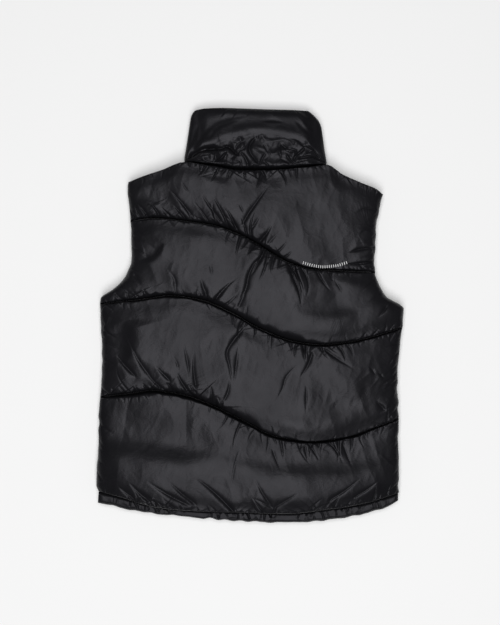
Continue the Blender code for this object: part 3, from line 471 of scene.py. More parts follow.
def smooth_path(points, step=0.0015):
    """Points about a step apart on a curve through the given ones, with each one's tangent and share."""
    knots = np.array(points, dtype=float)
    run = np.concatenate([[0], np.cumsum(np.hypot(*np.diff(knots, axis=0).T))])
    slope = np.gradient(knots, run, axis=0)
    at = np.linspace(0, run[-1], max(int(run[-1] / step), 8))
    first = np.clip(np.searchsorted(run, at) - 1, 0, len(run) - 2)
    length = (run[first + 1] - run[first])[:, None]
    path = cubic(knots, slope, first, length, (at - run[first])[:, None] / length)
    tangent = np.gradient(path, axis=0)
    return path, tangent / np.hypot(*tangent.T)[:, None], at / run[-1]


def sharp_fold(t):
    """Cross-section of a crease: a sharp valley, a crest beside it that falls away slowly, one behind.

    Valley and crests are exponentials of the distance, and a hyperbolic tangent makes one crest the higher.
    """
    crest = np.where(t > 0, np.exp(-np.abs(t) / 5.0), np.exp(-np.abs(t) / 3.5))
    return (0.40 + 0.16 * np.tanh(2 * t)) * crest - np.exp(-np.abs(t) / 0.85)


def long_bank(t):
    """Cross-section of a broad swell: a slope from a trough up to a crest, both under one bell curve."""
    return np.tanh(t) * np.exp(-(t / 2.8) ** 2)


def crease_relief(x, y, creases, shape=sharp_fold):
    """Height of the creases at each place: their cross-section, lower and narrower towards both ends.

    Each place is measured from the nearest point of the crease's path, and a bell curve ends the crease where
    the place lies beyond the path.
    """
    relief = np.zeros_like(x)
    for crease in creases:
        path, tangent, share = smooth_path(crease.path)
        fade = np.clip(share / crease.start, 0, 1) * np.clip((1 - share) / crease.end, 0, 1)
        margin = 12 * crease.width    # past it, the cross-section is next to nothing
        low, high = path.min(0) - margin, path.max(0) + margin
        near_it = (x > low[0]) & (x < high[0]) & (y > low[1]) & (y < high[1])
        here = np.column_stack([x[near_it], y[near_it]])
        near = ((here[:, None, 0] - path[:, 0]) ** 2 + (here[:, None, 1] - path[:, 1]) ** 2).argmin(-1)
        step = np.hypot(*(path[1] - path[0]))
        at = np.clip(near + ((here - path[near]) * tangent[near]).sum(-1) / step, 0, len(path) - 1)
        foot, along = (
            np.column_stack([np.interp(at, np.arange(len(path)), part[:, axis]) for axis in (0, 1)])
            for part in (path, tangent)
        )
        away = here - foot
        across = (along[:, 1] * away[:, 0] - along[:, 0] * away[:, 1]) * np.sign(crease.height)
        beyond = (along * away).sum(-1)
        strength = np.interp(at, np.arange(len(path)), fade)
        width = crease.width * (0.35 + 0.65 * strength)
        height = abs(crease.height) * strength * shape(across / width)
        relief[near_it] += height * np.exp(-(beyond / CREASE_END) ** 2)
    return relief


def streaks(x, y, from_middle, seed):
    """Faint streaks where thin cloth is pulled from seam to seam: long ridges, fanned out to both sides."""
    patches = np.clip(0.5 + 0.9 * cloud(x, y, 0.045, seed), 0, 1.2)
    folded = x - (0.3 - 1.5 * x) * from_middle + 0.004 * cloud(x, y, 0.03, seed + 3)
    fine = ridges(folded, 0.22 * y + 0.05 * x, 0.0090, seed + 1)
    broad = ridges(folded + 0.2 * from_middle, 0.25 * y, 0.0170, seed + 2)
    return patches * (0.00008 * fine + 0.0002 * broad)


def settle(smooth, nudge, extra, turned=1, held=(), steps=380, filling=1e-3, floor=None):
    """Cloth simulation: the smooth grid gets extra cloth and filling pressure, and settles into folds.

    Every edge and diagonal of the grid keeps its own length, which is the smooth one times one plus the extra
    cloth in its direction. Each step moves every point on by its last motion, blows it out along its normal,
    draws it a little to the smooth shape, as filling does, and then corrects the lengths some times. Bending
    is resisted in proportion to the second difference of neighbouring points. The rim and the held rows
    are sewn down and stay where they are. turned is -1 where the outer side faces down.
    """
    start = smooth.astype(np.float32)
    free = np.zeros(start.shape[:2] + (1,), np.float32)
    free[1:-1, 1:-1] = 1
    free[list(held)] = 0
    rows_all, before, after = slice(None), slice(None, -1), slice(1, None)
    low, middle, high = slice(None, -2), slice(1, -1), slice(2, None)
    threes = ((rows_all, low), (rows_all, middle), (rows_all, high)), (low, middle, high)
    families = []
    for one, other, weight in (
        ((rows_all, before), (rows_all, after), 1.0), ((before, rows_all), (after, rows_all), 1.0),
        ((before, before), (after, after), 0.5), ((before, after), (after, before), 0.5),
    ):
        run = start[other] - start[one]
        length = np.linalg.norm(run, axis=-1)
        flat = np.hypot(run[..., 0], run[..., 1]) + 1e-9
        ex, ey = run[..., 0] / flat, run[..., 1] / flat
        xx, xy, yy = ((part[one] + part[other]) / 2 for part in extra)
        length = length * (1 + xx * ex * ex + 2 * xy * ex * ey + yy * ey * ey)
        families.append((one, other, weight, length.astype(np.float32)))
    share = np.zeros(start.shape[:2], np.float32)
    for one, other, weight, _ in families:
        share[one] += weight
        share[other] += weight
    share = 1.3 * free / share[..., None]

    def outward(points):
        right, up = np.zeros_like(points), np.zeros_like(points)
        right[:, 1:-1] = points[:, 2:] - points[:, :-2]
        up[1:-1] = points[2:] - points[:-2]
        normal = np.cross(right, up)
        return turned * normal / (np.linalg.norm(normal, axis=-1, keepdims=True) + 1e-12)

    points = start + outward(start) * nudge[..., None].astype(np.float32) * free
    motion = np.zeros_like(points)
    pull = np.array([0.4, 0.4, 1.0], np.float32) * np.asarray(filling, np.float32)[..., None]
    for _ in range(steps):
        motion = (DAMPING * motion + PRESSURE * outward(points) + pull * (start - points)) * free
        moved = points + motion
        for _ in range(CORRECTIONS):
            fix = np.zeros_like(moved)
            for one, other, weight, length in families:
                run = moved[other] - moved[one]
                now = np.sqrt((run * run).sum(-1))
                run *= (0.5 * weight * (1 - length / now))[..., None]
                fix[one] += run
                fix[other] -= run
            moved += fix * share
            bend = np.zeros_like(moved)
            for low, middle, high in threes:
                curve = moved[high] - 2 * moved[middle] + moved[low]
                bend[middle] += 2 * curve
                bend[high] -= curve
                bend[low] -= curve
            moved += STIFFNESS * bend * free
            if floor is not None:
                moved[..., 2] = np.maximum(moved[..., 2], floor)
        motion, points = moved - points, moved
    return points


def grid_faces(rows, columns, first=0, flipped=False):
    """Quads of a grid whose points are numbered row by row."""
    corner = (np.arange(rows - 1)[:, None] * columns + np.arange(columns - 1)[None, :]).ravel() + first
    quads = np.column_stack([corner, corner + 1, corner + columns + 1, corner + columns])
    return quads[:, ::-1] if flipped else quads


def rim_of(rows, columns):
    """Numbers of a grid's rim points, anticlockwise from the first corner."""
    last = rows * columns - 1
    return np.concatenate([
        np.arange(columns - 1), np.arange(columns - 1, last, columns),
        np.arange(last, last - columns + 1, -1), np.arange(last - columns + 1, 0, -columns),
    ])


def mesh_of(name, points, faces):
    """A mesh from an array of points and a list of faces."""
    mesh = bpy.data.meshes.new(name)
    mesh.from_pydata(points.reshape(-1, 3).tolist(), [], faces)
    return mesh


def cloth_map(mesh, u, v):
    """UV map in metres along the cloth, from each point's own place on it."""
    corners = np.zeros(len(mesh.loops), dtype=np.int32)
    mesh.loops.foreach_get("vertex_index", corners)
    layer = mesh.uv_layers.new(name="cloth_map")
    layer.data.foreach_set("uv", np.column_stack([u[corners], v[corners]]).ravel().astype(np.float32))


def along_rows(points):
    """Length along the middle row and the middle column of a grid, spread over all its points."""
    rows, columns = points.shape[:2]
    u = np.concatenate([[0], np.cumsum(np.linalg.norm(np.diff(points[rows // 2], axis=0), axis=-1))])
    v = np.concatenate([[0], np.cumsum(np.linalg.norm(np.diff(points[:, columns // 2], axis=0), axis=-1))])
    return np.tile(u, rows), np.repeat(v, columns)


def add_piece(name, mesh, material, body="vest"):
    """Put a finished mesh in the scene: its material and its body."""
    mesh.materials.append(material)
    mesh.shade_smooth()
    piece = bpy.data.objects.new(name, mesh)
    bpy.context.scene.collection.objects.link(piece)
    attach(piece, body)
    return piece


def refined(grid):
    """The grid with a new row and column between each two, on a cubic through their four neighbours."""
    for _ in range(2):
        ends = [2 * grid[:1] - grid[1:2], grid, 2 * grid[-1:] - grid[-2:-1]]
        wide = np.concatenate(ends)
        between = (9 * (wide[1:-2] + wide[2:-1]) - wide[:-3] - wide[3:]) / 16
        finer = np.empty((2 * len(grid) - 1,) + grid.shape[1:], grid.dtype)
        finer[::2], finer[1::2] = grid, between
        grid = finer.swapaxes(0, 1)
    return grid


def crumples(x, y, seed):
    """Fine crumples of thin crisp cloth: ridges of three sizes, stronger in some places than in others."""
    patches = 0.65 + 0.35 * cloud(x, y, 0.06, seed)
    large = ridges(x + 0.35 * y, 0.55 * y - 0.2 * x, 0.030, seed + 1)
    middle = ridges(x - 0.3 * y, 0.5 * y + 0.2 * x, 0.015, seed + 2)
    small = ridges(x + 0.2 * y, 0.6 * y, 0.0080, seed + 3)
    return patches * (0.0011 * large + 0.00042 * middle + 0.00010 * small)


def plan_of(cloth):
    """x and y of every point, seen from above."""
    return cloth[..., 0].astype(float), cloth[..., 1].astype(float)


def levelled(relief, deepest):
    """Relief with its valleys cut short: they near the deepest one as a hyperbolic tangent does."""
    return np.where(relief < 0, -deepest * np.tanh(-relief / deepest), relief)


def padded_piece(name, cloth, base, material, turned=1):
    """Closed padded piece: settled cloth, a wall round its rim, and a flat inner side at the base level."""
    rows, columns = cloth.shape[:2]
    count = rows * columns
    points = cloth.reshape(-1, 3)
    rim = rim_of(rows, columns)
    ring = points[rim].copy()
    ring[:, 2] = base
    low = np.arange(len(rim)) + count
    ahead = np.roll(np.arange(len(rim)), -1)
    wall = np.column_stack([rim, low, low[ahead], rim[ahead]])
    inner = np.array(tessellate_polygon([[tuple(point) for point in ring]])) + count
    a, b, c = (points_of[:, :2] for points_of in (ring[inner[:, k] - count] for k in range(3)))
    area = (b - a)[:, 0] * (c - a)[:, 1] - (b - a)[:, 1] * (c - a)[:, 0]
    inner = np.where((area * turned > 0)[:, None], inner[:, ::-1], inner)
    wall = wall if turned > 0 else wall[:, ::-1]
    faces = grid_faces(rows, columns, flipped=turned < 0).tolist() + wall.tolist() + inner.tolist()
    mesh = mesh_of(name, np.concatenate([points, ring]), faces)
    u, v = along_rows(cloth)
    cloth_map(mesh, np.concatenate([u, u[rim]]), np.concatenate([v, v[rim]]))
    return add_piece(name, mesh, material)


def node_of(tree, kind, **inputs):
    """A new shader node, with its named inputs set or linked."""
    node = tree.nodes.new(kind)
    for name, value in inputs.items():
        socket = node.inputs[name.replace("_", " ")]
        if isinstance(value, bpy.types.NodeSocket):
            tree.links.new(value, socket)
        else:
            socket.default_value = value
    return node


def new_material(name):
    """A new material, its node tree and its shader."""
    material = bpy.data.materials.new(name)
    material.use_nodes = True
    return material, material.node_tree, material.node_tree.nodes["Principled BSDF"]


def cloth_material(name, dark, light, roughness, crumple_depth):
    """Black nylon: a plain weave along the cloth's own map, fine crumples, and tone and sheen in patches."""
    material, tree, shader = new_material(name)
    shader.inputs["Specular IOR Level"].default_value = 0.108
    shader.inputs["Specular Tint"].default_value = (1.0, 0.985, 1.07, 1.0)
    spot = tree.nodes.new("ShaderNodeTexCoord").outputs["Object"]
    own_map = tree.nodes.new("ShaderNodeUVMap")
    own_map.uv_map = "cloth_map"
    patches = node_of(tree, "ShaderNodeTexNoise", Vector=spot, Scale=16.0, Detail=3.0, Roughness=0.6)
    broad = node_of(
        tree, "ShaderNodeTexNoise", Vector=spot, Scale=60.0, Detail=3.0, Roughness=0.5, Distortion=1.2,
    )
    fine = node_of(tree, "ShaderNodeTexNoise", Vector=spot, Scale=420.0, Detail=2.0, Roughness=0.5)
    tone = node_of(tree, "ShaderNodeMix")
    tone.data_type = "RGBA"
    tone.inputs[6].default_value = (*dark, 1.0)
    tone.inputs[7].default_value = (*light, 1.0)
    tree.links.new(patches.outputs["Fac"], tone.inputs[0])
    tree.links.new(tone.outputs[2], shader.inputs["Base Color"])
    gloss = node_of(
        tree, "ShaderNodeMapRange", Value=patches.outputs["Fac"],
        From_Min=0.3, From_Max=0.7, To_Min=roughness - 0.04, To_Max=roughness + 0.05,
    )
    tree.links.new(gloss.outputs["Result"], shader.inputs["Roughness"])
    threads = []
    for direction in ("X", "Y"):
        wave = node_of(tree, "ShaderNodeTexWave", Vector=own_map.outputs["UV"], Scale=620.0)
        wave.bands_direction = direction
        threads.append(wave.outputs["Fac"])
    weave = node_of(tree, "ShaderNodeMath")
    weave.operation = "MULTIPLY"
    tree.links.new(threads[0], weave.inputs[0])
    tree.links.new(threads[1], weave.inputs[1])
    bump = node_of(tree, "ShaderNodeBump", Strength=0.1, Distance=WEAVE_DEPTH, Height=weave.outputs[0])
    for strength, depth, folds in ((0.5, crumple_depth * 0.25, fine), (0.6, crumple_depth, broad)):
        bump = node_of(
            tree, "ShaderNodeBump", Strength=strength, Distance=depth, Height=folds.outputs["Fac"],
            Normal=bump.outputs["Normal"],
        )
    tree.links.new(bump.outputs["Normal"], shader.inputs["Normal"])
    return material


SHELL_CLOTH = cloth_material("shell_nylon", (0.0046, 0.0045, 0.0054), (0.0086, 0.0085, 0.0099), 0.35, 0.0006)
back_cloth = {}


def back_grid(panel):
    """Where the grid of a back panel lies, seen from above, with its shares across and up."""
    lower, upper = SEAMS[panel.lower], SEAMS[panel.upper]
    width = upper[-1].x - upper[0].x
    across = even_steps(width, panel.puff, lambda t: shoulder_of(np.minimum(t, 1 - t) * width, SIDE_ROUNDING))
    if panel.upper == "shoulder":
        for corner in ((neck - upper[0].x) / width for neck in (NECK_LEFT, NECK_RIGHT)):
            across[np.argmin(np.abs(across - corner))] = corner
    up = even_steps(
        CHANNEL_WIDTH, 0.7 * panel.puff,
        lambda t: shoulder_of(CHANNEL_WIDTH * np.minimum(t, 1 - t) - SEAM_ALLOWANCE, 0.007),
    )
    lines = []
    for points, side in ((lower, 1), (upper, -1)):
        x = points[0].x + (points[-1].x - points[0].x) * across
        lines.append(np.column_stack([x, moved_across(x, through(points, x), side * SEAM_GAP / 2)]))
    left = side_points(LEFT_EDGE, lines[0][0, 1], lines[1][0, 1], up)
    right = side_points(RIGHT_EDGE, lines[0][-1, 1], lines[1][-1, 1], up)
    return coons_patch(lines[0], lines[1], left, right, across, up), up


def add_back_panel(panel, seed):
    """A back panel: swollen between its seams and gathered along them, settled, then creased.

    The swell is the panel's puff times its rise beside each seam, times a rise from the sides: one short and
    one longer quarter circle and a sine that reaches far in. A low crown over the whole channel is added.
    """
    places, up = back_grid(panel)
    x, y = places[..., 0], places[..., 1]
    to_left, to_right = x - x[:, :1], x[:, -1:] - x
    to_side = np.minimum(to_left, to_right)
    below, above = y - y[:1], y[-1:] - y
    lower, upper = SEAMS[panel.lower], SEAMS[panel.upper]
    usual = ((-0.3, USUAL_BANK), (0.3, USUAL_BANK))
    (low_gathers, low_bank), (high_gathers, high_bank) = (
        (GATHERS[panel.name, end], BANKS.get((panel.name, end), usual)) for end in (0, 1)
    )
    low_rise, low_extra = sewn_edge(x, below, low_gathers, low_bank, seed)
    high_rise, high_extra = sewn_edge(x, above, high_gathers, high_bank, seed + 20, soft=0.03)
    edge = 0.24 * shoulder_of(to_side, 0.012) + 0.32 * shoulder_of(to_side, 0.060)
    edge += 0.44 * np.sin(0.5 * pi * np.clip(np.minimum(to_left / 0.16, to_right / 0.24), 0, 1))
    waves = 0.0020 * cloud(x, y, 0.075, seed + 40) + 0.0006 * cloud(x + 0.5 * y, y, 0.038, seed + 41)
    swell = low_rise * high_rise * edge * (0.90 * panel.puff + waves)
    crown = (1 - np.abs(2 * up - 1) ** 2.2)[:, None]
    swell += 0.10 * panel.puff * crown * shoulder_of(to_side, SIDE_ROUNDING)
    level = BACK_BASE + SEAM_THICKNESS + swell
    level[[0, -1]] = level[:, [0, -1]] = BACK_BASE + SEAM_THICKNESS
    extra = [one + other for one, other in zip(low_extra, high_extra)]
    nudge = 0.0002 * cloud(x, y, 0.010, seed + 42)
    filling = 0.0015 + 0.030 * np.exp(-(np.minimum(below, above) / 0.012) ** 2)
    cloth = refined(settle(np.dstack([x, y, level]), nudge, extra, filling=filling))
    x, y = plan_of(cloth)
    small = sewn_creases(lower, low_gathers, 1, seed + 60) + sewn_creases(upper, high_gathers, -1, seed + 61)
    small += side_creases(LEFT_EDGE, lower[0].y, upper[0].y, seed + 62)
    small += side_creases(RIGHT_EDGE, lower[-1].y, upper[-1].y, seed + 63)
    relief = CREASE_STRENGTH * crease_relief(x, y, CREASES[panel.name])
    relief = levelled(relief + GATHER_STRENGTH * crease_relief(x, y, small), DEEPEST_CREASE)
    relief += crumples(x, y, seed + 50) + streaks(x, y, y - (y[:1] + y[-1:]) / 2, seed + 52)
    relief += crease_relief(x, y, SWELLS[panel.name], long_bank)
    off_edge = np.clip(np.minimum(y - y[:1], y[-1:] - y) / 0.0015, 0, 1)
    off_edge = off_edge * np.clip(np.minimum(x - x[:, :1], x[:, -1:] - x) / 0.003, 0, 1)
    cloth[..., 2] += off_edge * relief
    cloth[1:-1, 1:-1, 2] = np.maximum(cloth[1:-1, 1:-1, 2], BACK_BASE + LEAST_PANEL)
    back_cloth[panel.name] = cloth
    piece = padded_piece(f"{panel.name}_cloth", cloth, BACK_BASE, SHELL_CLOTH)
    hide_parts(panel.name)


for number, back_panel in enumerate(BACK_PANELS):
    add_back_panel(back_panel, 100 * (number + 1))

# ---------------------------------------------------------------- seam strips
# Along each wave the two panels are sewn together, and the seam is folded into a narrow flat band of the same
# nylon. A row of short black stitches holds it down along its middle.

STRIP_HALF_WIDTH = 0.0011
STRIP_LEVEL = BACK_BASE + SEAM_THICKNESS + 0.0006
STITCH_LEVEL = STRIP_LEVEL + 0.0007
STITCH_PITCH = 0.0036
STITCH_LENGTH = 0.0028
STITCH_THICKNESS = 0.0006


def turned_out(mesh):
    """Turn a closed mesh's faces so that they all look outwards."""
    work = bmesh.new()
    work.from_mesh(mesh)
    bmesh.ops.recalc_face_normals(work, faces=work.faces)
    work.to_mesh(mesh)
    work.free()


def seam_path(points, low_x, high_x, level, step=0.0022):
    """Places along a seam at a level, with the direction across it."""
    x = np.linspace(low_x, high_x, int((high_x - low_x) / step))
    y = through(points, x)
    slope = np.gradient(y, x)
    turn = np.hypot(1, slope)
    across = np.column_stack([-slope / turn, 1 / turn, np.zeros_like(x)])
    return np.column_stack([x, y, np.full_like(x, level)]), across


def add_seam_strip(name, seam, low_x, high_x, level, side, seed):
    """A folded band: a flat closed profile carried along a seam, a little uneven, as thread pulls it.

    side is 1 where its outer side faces up, as on the back, and -1 where it faces down.
    """
    path, across = seam_path(SEAMS[seam], low_x, high_x, level)
    run = path[:, 0]
    width = STRIP_HALF_WIDTH * (1 + 0.12 * wandering(run, 0.012, seed))
    rise = 0.0006 * (1 + 0.25 * wandering(run, 0.007, seed + 1))
    path[:, 2] -= side * 0.0004 * (1 + wandering(run, 0.017, seed + 2))
    share = np.array([-1.0, -0.96, -0.7, -0.3, 0.0, 0.3, 0.7, 0.96, 1.0, 0.6, -0.6])
    height = np.array([-0.3, 0.35, 0.9, 1.0, 0.82, 1.0, 0.9, 0.35, -0.3, -1.0, -1.0])
    profile = np.dstack([width[:, None] * share, side * rise[:, None] * height])
    rings = path[:, None] + profile[..., :1] * across[:, None]
    rings[..., 2] += profile[..., 1]
    count, size = rings.shape[:2]
    corner = np.arange(count - 1)[:, None] * size + np.arange(size)[None, :]
    ahead = np.roll(corner, -1, axis=1)
    quads = np.dstack([corner, ahead, ahead + size, corner + size]).reshape(-1, 4)
    caps = [list(range(size))[::-1], list(range((count - 1) * size, count * size))]
    mesh = mesh_of(name, rings, quads.tolist() + caps)
    turned_out(mesh)
    cloth_map(mesh, np.repeat(run, size), np.tile(share * STRIP_HALF_WIDTH, count))
    return add_piece(name, mesh, SHELL_CLOTH)


def stitch_row(seam, low_x, high_x, level):
    """Centres, directions and outward sides of a row of stitches along a seam."""
    path, across = seam_path(SEAMS[seam], low_x, high_x, level, step=STITCH_PITCH)
    return path, np.cross(across, (0.0, 0.0, 1.0)), np.tile((0.0, 0.0, 1.0), (len(path), 1))


def stitches_mesh(name, centres, along, outward, length, thickness):
    """One mesh of small closed capsules: six-sided rods with a point at each end, half sunk in the cloth."""
    turn = 2 * pi * np.arange(6) / 6
    ring = np.column_stack([np.zeros(6), np.cos(turn), np.sin(turn)])
    half, radius = length / 2, thickness / 2
    shoulder = (0.72 * half, 0, 0)
    template = np.vstack([(-half, 0, 0), ring * radius - shoulder, ring * radius + shoulder, (half, 0, 0)])
    beside = np.cross(outward, along)
    places = (
        centres[:, None] + template[None, :, :1] * along[:, None]
        + template[None, :, 1:2] * beside[:, None] + template[None, :, 2:] * outward[:, None]
    )
    k, ahead = np.arange(6), (np.arange(6) + 1) % 6
    start, end = np.column_stack([0 * k, 1 + ahead, 1 + k]), np.column_stack([0 * k + 13, 7 + k, 7 + ahead])
    triangles = np.vstack([start, end])
    quads = np.column_stack([1 + k, 1 + ahead, 7 + ahead, 7 + k])
    first = 14 * np.arange(len(centres))[:, None, None]
    faces = (triangles + first).reshape(-1, 3).tolist() + (quads + first).reshape(-1, 4).tolist()
    return mesh_of(name, places, faces)


def plain_material(name, colour, roughness, metallic=0.0, grain=0.0):
    """One colour, with a fine grain in its surface."""
    material, tree, shader = new_material(name)
    shader.inputs["Base Color"].default_value = (*colour, 1.0)
    shader.inputs["Roughness"].default_value = roughness
    shader.inputs["Metallic"].default_value = metallic
    place = tree.nodes.new("ShaderNodeTexCoord")
    noise = node_of(tree, "ShaderNodeTexNoise", Vector=place.outputs["Object"], Scale=900.0, Detail=2.0)
    bump = node_of(tree, "ShaderNodeBump", Strength=0.5, Distance=grain, Height=noise.outputs["Fac"])
    tree.links.new(bump.outputs["Normal"], shader.inputs["Normal"])
    return material


BLACK_THREAD = plain_material("black_thread", (0.012, 0.012, 0.013), 0.55, grain=0.0001)
WAVES = (("wave_1", -0.2195, 0.2290, 31), ("wave_2", -0.2740, 0.2790, 37), ("wave_3", -0.2740, 0.2730, 43))
for wave, low_x, high_x, seed in WAVES:         # each seam's strip, from where to where, and its seed
    add_seam_strip(f"{wave}_strip", wave, low_x, high_x, STRIP_LEVEL, 1, seed)

rows = [stitch_row(wave, low_x + 0.003, high_x - 0.003, STITCH_LEVEL) for wave, low_x, high_x, _ in WAVES]
seam_stitches = stitches_mesh(
    "wave_stitches", *(np.concatenate(part) for part in zip(*rows)), STITCH_LENGTH, STITCH_THICKNESS,
)
add_piece("wave_stitches", seam_stitches, BLACK_THREAD)

# ---------------------------------------------------------------- white stitches
# A row of short, dense bars of glossy white thread, worked through the yoke just above its lower seam on the
# wearer's right. It carries no letters.

BAR_PITCH = 0.0038
BAR_LENGTH = 0.0062
BAR_REACH = 0.0030            # from the row's curve to where a bar's ends touch the cloth
THREAD_PITCH = 0.00045
THREAD_THICKNESS = 0.00042
WHITE_THREAD = plain_material("white_thread", (0.78, 0.78, 0.78), 0.45, grain=0.0001)


def height_on(cloth, x, y):
    """Height of a panel at the given places: the highest of the six points that are nearest to each."""
    flat = cloth.reshape(-1, 3).astype(float)
    flat = flat[(flat[:, 0] > x.min() - 0.01) & (flat[:, 0] < x.max() + 0.01) & (flat[:, 1] < y.max() + 0.01)]
    near = ((flat[:, None, :2] - np.column_stack([x, y])[None]) ** 2).sum(-1).argsort(0)[:6]
    return flat[near, 2].max(0)


STITCH_CURVE = points_at((98.4, 98.2), (116.3, 93), (135, 90.4), (159.4, 92.6), (180, 98.3))


def add_white_stitches():
    """The row: each bar is three threads side by side, across the row's own curve.

    Its ends lie on the cloth, and both are raised as far as the cloth between them stands above the bar.
    """
    yoke = back_cloth["back_yoke"]
    path, across = seam_path(STITCH_CURVE, 0.0990, 0.1795, 0.0, step=BAR_PITCH)
    low, high = path - BAR_REACH * across, path + BAR_REACH * across
    for ends in (low, high):
        ends[:, 2] = height_on(yoke, ends[:, 0], ends[:, 1])
    between = [low + share * (high - low) for share in (0.2, 0.35, 0.5, 0.65, 0.8)]
    lift = [height_on(yoke, places[:, 0], places[:, 1]) - places[:, 2] for places in between]
    low[:, 2] += np.maximum(np.max(lift, axis=0), 0.0)
    high[:, 2] += np.maximum(np.max(lift, axis=0), 0.0)
    along = high - low
    length = np.linalg.norm(along, axis=1)
    along = along / length[:, None]
    beside = np.cross(along, np.cross((0.0, 0.0, 1.0), along))
    sideways = np.cross(along, beside)
    shifts = np.array([-THREAD_PITCH, 0.0, THREAD_PITCH])
    centres = ((low + high) / 2 + 0.0004 * beside)[:, None] + shifts[None, :, None] * sideways[:, None]
    mesh = stitches_mesh(
        "white_stitches", centres.reshape(-1, 3), np.repeat(along, 3, axis=0), np.repeat(beside, 3, axis=0),
        BAR_LENGTH, THREAD_THICKNESS,
    )
    add_piece("white_stitches", mesh, WHITE_THREAD)


add_white_stitches()

# ---------------------------------------------------------------- fronts
# Two padded fronts of the same nylon lie underneath, outer side down, quilted along the same waves. The floor
# presses their channels flat; their seams stay clear of it. A straight zip joins them.

CENTRE_FRONT = 0.0080         # from the middle of the zip to each front's sewn edge
FRONT_PUFF = 0.030
FRONT_STEP = 0.0046
FRONT_CHANNEL = 0.16          # from seam to seam, about
FRONT_BANKS = ((-0.3, 0.006), (0.3, 0.006))
LEAST_FRONT = 0.0025          # thickness that no crease goes below
FRONT_CHANNELS = ("hem", "wave_3", "wave_2", "wave_1")
FRONT_TOP_EDGE = {
    -1: points_at(
        (-227.5, 249.8), (-208.1, 257.8), (-163.1, 272.8), (-121.9, 286.5), (-107, 260), (-80, 239),
        (-45, 227), (-8, 223),
    ),
    1: points_at(
        (8, 223), (50, 226.5), (92, 239), (125, 259), (142.5, 282), (170.6, 265.3), (203.6, 250.3),
        (236.3, 236.6), (248, 226.5),
    ),
}
FRONT_EDGES = {-1: LEFT_EDGE, 1: RIGHT_EDGE}
FRONT_GATHERS = gathers_of(
    (-290, 9, 18, -0.6), (-150, 12, 26, 0.4), (0, 8, 20, 0), (150, 12, 26, -0.4), (290, 9, 18, 0.6),
)


def dome(t):
    """Cross-section of a padded channel: 0 at both ends, 1 in its broad middle, steep at the ends."""
    return (1 - np.abs(2 * t - 1) ** 5) ** 0.45


def front_line(points, side, across):
    """Points of a front's cross line, from its side edge to the middle."""
    outer_x = points[0].x if side < 0 else points[-1].x
    x = outer_x + (side * CENTRE_FRONT - outer_x) * across
    return np.column_stack([x, through(points, x)])


